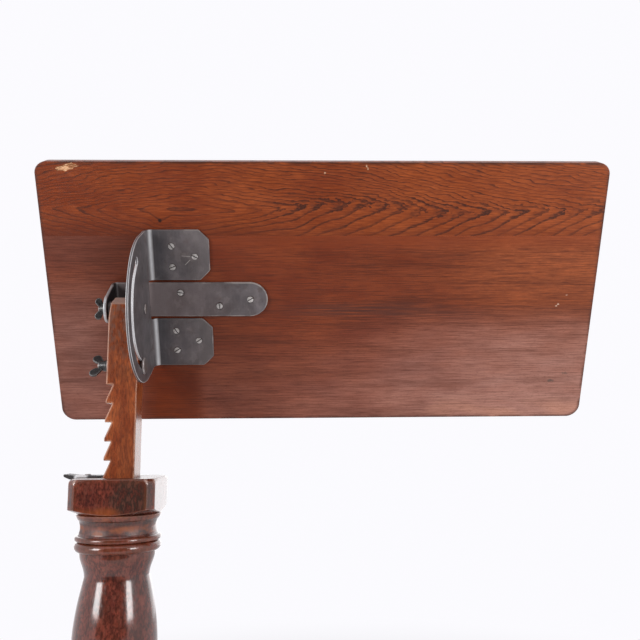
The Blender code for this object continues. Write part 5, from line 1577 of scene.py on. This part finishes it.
def make_column(finish):
    """The column, row after row of points: up the mortise, over the head, down the shaft and up the bore."""
    turns = [2 * pi * count / COLUMN_SIDES for count in range(COLUMN_SIDES)]
    head = [square_radius(turn, HEAD_SIZE / 2, HEAD_CHAMFER, HEAD_CORNER_BLEND) for turn in turns]
    mouth = [oblong_radius(turn, POST_WIDTH / 2 + MORTISE_GAP, POST_DEPTH / 2 + MORTISE_GAP)
             for turn in turns]
    inside = []
    for grow, drop in MORTISE_MOUTH:
        inside.append(([radius + grow for radius in mouth], [HEAD_TOP - drop] * COLUMN_SIDES))
    bore = []
    for radius, height in ((BORE_RADIUS + BORE_CHAMFER, COLUMN_BOTTOM),
                           (BORE_RADIUS, COLUMN_BOTTOM + BORE_CHAMFER),
                           (BORE_RADIUS, HEAD_TOP - MORTISE_LENGTH)):
        bore.append(([radius] * COLUMN_SIDES, [height] * COLUMN_SIDES))
    outside = head_rows(head)
    outside += [([radius] * COLUMN_SIDES, [height] * COLUMN_SIDES) for radius, height in shaft_profile()]
    form = bmesh.new()
    loops = []
    for rows, shift in ((inside, 0), (outside, COLUMN_SHIFT), (bore, 0)):
        for radii, heights in rows:
            loops.append([form.verts.new((radius * cos(turn) + shift, radius * sin(turn), height))
                          for turn, radius, height in zip(turns, radii, heights)])
    close_rows(form, loops + loops[:1])
    column = mesh_of(form, "column")
    back_x = CATCH_STEP_X - CATCH_THICKNESS - CATCH_TRAVEL - CATCH_POCKET_GAP
    side_y = CATCH_WIDTH / 2 + CATCH_POCKET_GAP
    floor_z = HEAD_TOP + CATCH_TONGUE_TOP - CATCH_THICKNESS - CATCH_POCKET_GAP
    pocket = box_cutter("pocket", (back_x, -side_y, floor_z),
                        (-POST_WIDTH / 2 + MORTISE_GAP / 2, side_y, HEAD_TOP + CUT_PAST))
    column = without(column, pocket, "column")
    mark_ridges(column, COLUMN_RIDGE)
    column.transform(COLUMN_PLACE)
    add_piece(column, "column_fine", "stand", "column_wood", [finish], "column")


def make_catch(finish, screw_finish):
    """The sliding catch: a flat plate with a tongue stepped down under a shelf and a lip for the finger."""
    low = SEAT_GAP
    high = SEAT_GAP + CATCH_THICKNESS
    tongue_bottom = CATCH_TONGUE_TOP - CATCH_THICKNESS
    step_left = CATCH_STEP_X - CATCH_THICKNESS
    lip_end = CATCH_LIP_X - CATCH_LIP_RUN
    lip_top = high + CATCH_LIP_RISE
    outline = [(CATCH_NOSE_X, tongue_bottom), (CATCH_NOSE_X, CATCH_TONGUE_TOP),
               (CATCH_STEP_X, CATCH_TONGUE_TOP), (CATCH_STEP_X, high), (CATCH_LIP_X + CATCH_LIP_BLEND, high)]
    outline += [(lip_end + x, lip_top + y) for x, y in CATCH_LIP_END]
    outline += [(CATCH_LIP_X + x, low + y) for x, y in CATCH_LIP_BELLY]
    outline += [(step_left, low), (step_left, tongue_bottom)]
    half = CATCH_WIDTH / 2
    plate = slab("catch", [soften(outline, CATCH_CORNER_ROUND)], -half, half, *CATCH_EDGE)
    plate.transform(UPRIGHT)
    slot = arc(CATCH_SCREW_X, 0, CATCH_SLOT_HALF_WIDTH, pi / 2, 3 * pi / 2, 16)
    slot += arc(CATCH_SCREW_X + CATCH_TRAVEL, 0, CATCH_SLOT_HALF_WIDTH, -pi / 2, pi / 2, 16)
    plate = without(plate, slab("slot", [slot], -CUT_PAST, CUT_PAST, *CUTTER_EDGE), "catch")
    plate.transform(POST_PLACE)
    add_piece(plate, "catch_plate_fine", "catch", "catch_iron", [finish], "catch_plate")

    screw = turned("catch_screw", bolt_profile(*CATCH_SCREW), 40)
    reach, half_width, bottom = CATCH_SCREW_SLOT
    slot = box_cutter("slot", (-reach, -half_width, bottom), (reach, half_width, reach))
    screw = without(screw, slot, "catch_screw")
    mark_ridges(screw, BOLT_RIDGE)
    screw.transform(Matrix.Translation((CATCH_SCREW_X, 0, high + SEAT_GAP)))
    screw.transform(POST_PLACE)
    add_piece(screw, "catch_screw_fine", "stand", "screw_steel", [screw_finish], "catch_screw")


# Legs and spider plate

def flowing_line(knots):
    """Points along a smooth line through knots of (reach, height, slope)."""
    points = [knots[0][:2]]
    for (start_x, start_y, start_slope), (end_x, end_y, end_slope) in zip(knots, knots[1:]):
        run = end_x - start_x
        for step in range(1, LEG_LINE_STEPS + 1):
            share = step / LEG_LINE_STEPS
            blend = share * share * (3 - 2 * share)
            rise = start_slope * share * (1 - share) ** 2 - end_slope * share * share * (1 - share)
            points.append((start_x + run * share, start_y + (end_y - start_y) * blend + run * rise))
    return points


def leg_outline():
    """Side of one leg in (reach, height): a swept top, a round toe, a flat sole and an arched underside."""
    squash = FOOT_HEIGHT / (2 * TOE_RADIUS)
    toe = arc(LEG_REACH - TOE_RADIUS, FOOT_HEIGHT / 2, TOE_RADIUS, pi / 2, -pi / 2, 20, squash)
    outline = [(LEG_ROOT_X, COLUMN_BOTTOM), (LEG_ROOT_X, LEG_ROOT_TOP)]
    return (outline + flowing_line(LEG_TOP_LINE) + toe[1:] + flowing_line(LEG_UNDER_LINE))[::-1]


def make_legs(finish):
    half = LEG_THICKNESS / 2
    leg = slab("leg", [soften(leg_outline(), LEG_CORNER_ROUND)], -half, half, *LEG_EDGE, 5)
    leg.transform(UPRIGHT)
    form = form_of(leg)
    cut_lines(form, 0, steps_between(LEG_ROOT_X, LEG_REACH, LEG_GRID))
    pattern = placed("leg_pattern", mesh_of(form, "leg"))
    values = {"Leg": pattern, "Count": LEG_COUNT, "Material": finish}
    legs = grown(leg_tree(), points_mesh([]), "legs", values)
    bpy.data.objects.remove(pattern, do_unlink=True)
    legs.transform(COLUMN_PLACE)
    add_piece(legs, "legs_fine", "stand", "leg_wood", [finish], *numbered("leg", 1, LEG_COUNT))


def spider_screw_places():
    """One screw in each leg and one in the column between each pair of legs, in turn."""
    places = []
    for count in range(LEG_COUNT):
        turn = 2 * pi * count / LEG_COUNT
        aside = turn + pi / LEG_COUNT
        places.append((SPIDER_LEG_SCREW_REACH * cos(turn), SPIDER_LEG_SCREW_REACH * sin(turn)))
        places.append((SPIDER_COLUMN_SCREW_REACH * cos(aside), SPIDER_COLUMN_SCREW_REACH * sin(aside)))
    return places


def make_spider(finish):
    """The iron plate under the column, with a round-ended arm along each leg."""
    outline = []
    half_width = SPIDER_ARM_WIDTH / 2
    half_turn = half_width / SPIDER_RADIUS
    for count in range(LEG_COUNT):
        turn = 2 * pi * count / LEG_COUNT
        facing = Matrix.Rotation(turn, 2)
        arm = arc(SPIDER_ARM_REACH - half_width, 0, half_width, -pi / 2, pi / 2, 24)
        outline += [tuple(facing @ Vector(point)) for point in arm]
        next_arm = turn + 2 * pi / LEG_COUNT
        outline += arc(0, 0, SPIDER_RADIUS, turn + half_turn, next_arm - half_turn, 24)
    seats = screw_seats([(x, -y) for x, y in spider_screw_places()])
    outline = soften(outline, SPIDER_CORNER_ROUND)
    plate = slab("spider", [outline] + seats, 0, SPIDER_THICKNESS, *SPIDER_EDGE)
    plate.transform(SPIDER_PLACE)
    add_piece(plate, "spider_plate_fine", "stand", "spider_iron", [finish], "spider_plate")


# Stage, light and camera

def seen_rays(tree):
    """1 for rays that show a surface as it is: straight to the camera, mirrored or through glass."""
    path = add_node(tree, "ShaderNodeLightPath", {}).outputs
    total = path["Is Camera Ray"]
    for kind in ("Is Glossy Ray", "Is Transmission Ray"):
        feeds = {0: total, 1: path[kind]}
        total = add_node(tree, "ShaderNodeMath", feeds, operation="ADD", use_clamp=True).outputs[0]
    return total


def make_floor():
    """A wide pale floor that keeps the table's shadow and fades into the pale background."""
    form = bmesh.new()
    bmesh.ops.create_circle(form, cap_ends=True, segments=96, radius=FLOOR_RADIUS)
    floor = placed("floor", mesh_of(form, "floor"))
    finish = Finish("pale floor", Base_Color=(0.84, 0.84, 0.86, 1), Roughness=0.9, Specular_IOR_Level=0.1)
    spot = finish.node("ShaderNodeTexCoord", {}).outputs["Object"]
    away = Field(finish, finish.node("ShaderNodeVectorMath", {0: spot}, operation="LENGTH").outputs["Value"])
    share = away.ease(*FLOOR_FADE) * Field(finish, seen_rays(finish.tree))
    glow = finish.node("ShaderNodeEmission", {"Color": (*PALE, 1)}).outputs[0]
    mix = finish.node("ShaderNodeMixShader", {0: share, 1: finish.shader.outputs[0], 2: glow})
    feed(finish.tree, finish.tree.nodes["Material Output"].inputs["Surface"], mix.outputs[0])
    floor.data.materials.append(finish.material)


def make_world():
    """A pale background for the camera and for reflections, and a dimmer fill light on everything."""
    world = bpy.data.worlds.new("studio")
    world.use_nodes = True
    tree = world.node_tree
    seen = tree.nodes["Background"]
    seen.inputs["Color"].default_value = (*PALE, 1)
    fill = add_node(tree, "ShaderNodeBackground", {"Color": (1, 1, 1, 1), "Strength": FILL_STRENGTH})
    mix = add_node(tree, "ShaderNodeMixShader", {0: seen_rays(tree), 1: fill.outputs[0], 2: seen.outputs[0]})
    feed(tree, tree.nodes["World Output"].inputs["Surface"], mix.outputs[0])
    bpy.context.scene.world = world


def add_softbox(name, place, aim, size, power):
    light = bpy.data.lights.new(name, "AREA")
    light.shape = "RECTANGLE"
    light.size, light.size_y = size
    light.energy = power
    lamp = placed(name, light)
    lamp.location = place
    lamp.rotation_euler = (Vector(aim) - Vector(place)).to_track_quat("-Z", "Y").to_euler()
    lamp.visible_camera = False


def add_flag(name, corners):
    """A dark card that only reflections see, as the unlit side of a studio."""
    mesh = bpy.data.meshes.new(name)
    mesh.from_pydata(corners, [], [(0, 1, 2, 3)])
    mesh.materials.append(Finish(name, Base_Color=(0.05, 0.05, 0.052, 1), Roughness=1).material)
    flag = placed(name, mesh)
    for kind in ("camera", "diffuse", "transmission", "shadow"):
        setattr(flag, "visible_" + kind, False)


def make_camera():
    """The camera that was fitted to the photo's board, post and column head."""
    right = Vector((cos(CAMERA_YAW), sin(CAMERA_YAW), 0))
    level = cos(CAMERA_PITCH)
    ahead = Vector((-sin(CAMERA_YAW) * level, cos(CAMERA_YAW) * level, sin(CAMERA_PITCH)))
    up = right.cross(ahead)
    rolled_right = right * cos(CAMERA_ROLL) + up * sin(CAMERA_ROLL)
    rolled_up = up * cos(CAMERA_ROLL) - right * sin(CAMERA_ROLL)
    data = bpy.data.cameras.new("camera")
    data.sensor_width = CAMERA_SENSOR
    data.lens = CAMERA_LENS
    data.clip_start = 0.01
    camera = placed("camera", data)
    facing = Matrix((rolled_right, rolled_up, -ahead)).transposed()
    camera.matrix_world = Matrix.Translation(CAMERA_PLACE) @ facing.to_4x4()
    bpy.context.scene.camera = camera


def build():
    make_planks()
    bracket_iron = sheet_iron("bracket iron", on_board, strokes=TAB_SCRATCHES, tints=bracket_tints)
    make_quadrant(bracket_iron)
    make_strap(bracket_iron)
    make_screws(rubbed_steel("worn screw steel", on_board, (0.58, 0.545, 0.53), (0.38, 0.35, 0.335),
                             (0.030, 0.022, 0.020)))
    make_post(post_wood())
    bolt_steel = rubbed_steel("dull bolt steel", on_column, (0.44, 0.40, 0.39), (0.31, 0.27, 0.265),
                              (0.10, 0.082, 0.078))
    make_bolts(bolt_steel)
    nut_iron = black_casting()
    make_wing_nut("pivot_wing_nut", "pivot_nut", PIVOT_NUT_SEAT, PIVOT_NUT, PIVOT_BOLT[0], 0, nut_iron)
    make_wing_nut("clamp_wing_nut", "clamp_nut", CLAMP_NUT_SEAT, CLAMP_NUT, CLAMP_BOLT[0], CLAMP_NUT_TURN,
                  nut_iron)
    make_column(dark_polish("dark column polish", on_column, "up", column_marks))
    make_catch(sheet_iron("catch iron", on_column, tone=0.28, shine=0.2, tints=catch_tints), bolt_steel)
    make_legs(dark_polish("dark leg polish", on_leg, "along", leg_marks))
    make_spider(sheet_iron("spider iron", on_column))

    make_floor()
    make_world()
    for name, place in SOFTBOX_PLACES.items():
        add_softbox(name, place, SOFTBOX_AIM, SOFTBOX_SIZE, SOFTBOX_POWER)
    add_softbox("backdrop light", BACKDROP_LIGHT_PLACE, BACKDROP_LIGHT_AIM, BACKDROP_LIGHT_SIZE,
                BACKDROP_LIGHT_POWER)
    for name, corners in FLAGS.items():
        add_flag(name, corners)
    make_camera()
    bpy.context.scene.view_settings.view_transform = "Standard"


build()
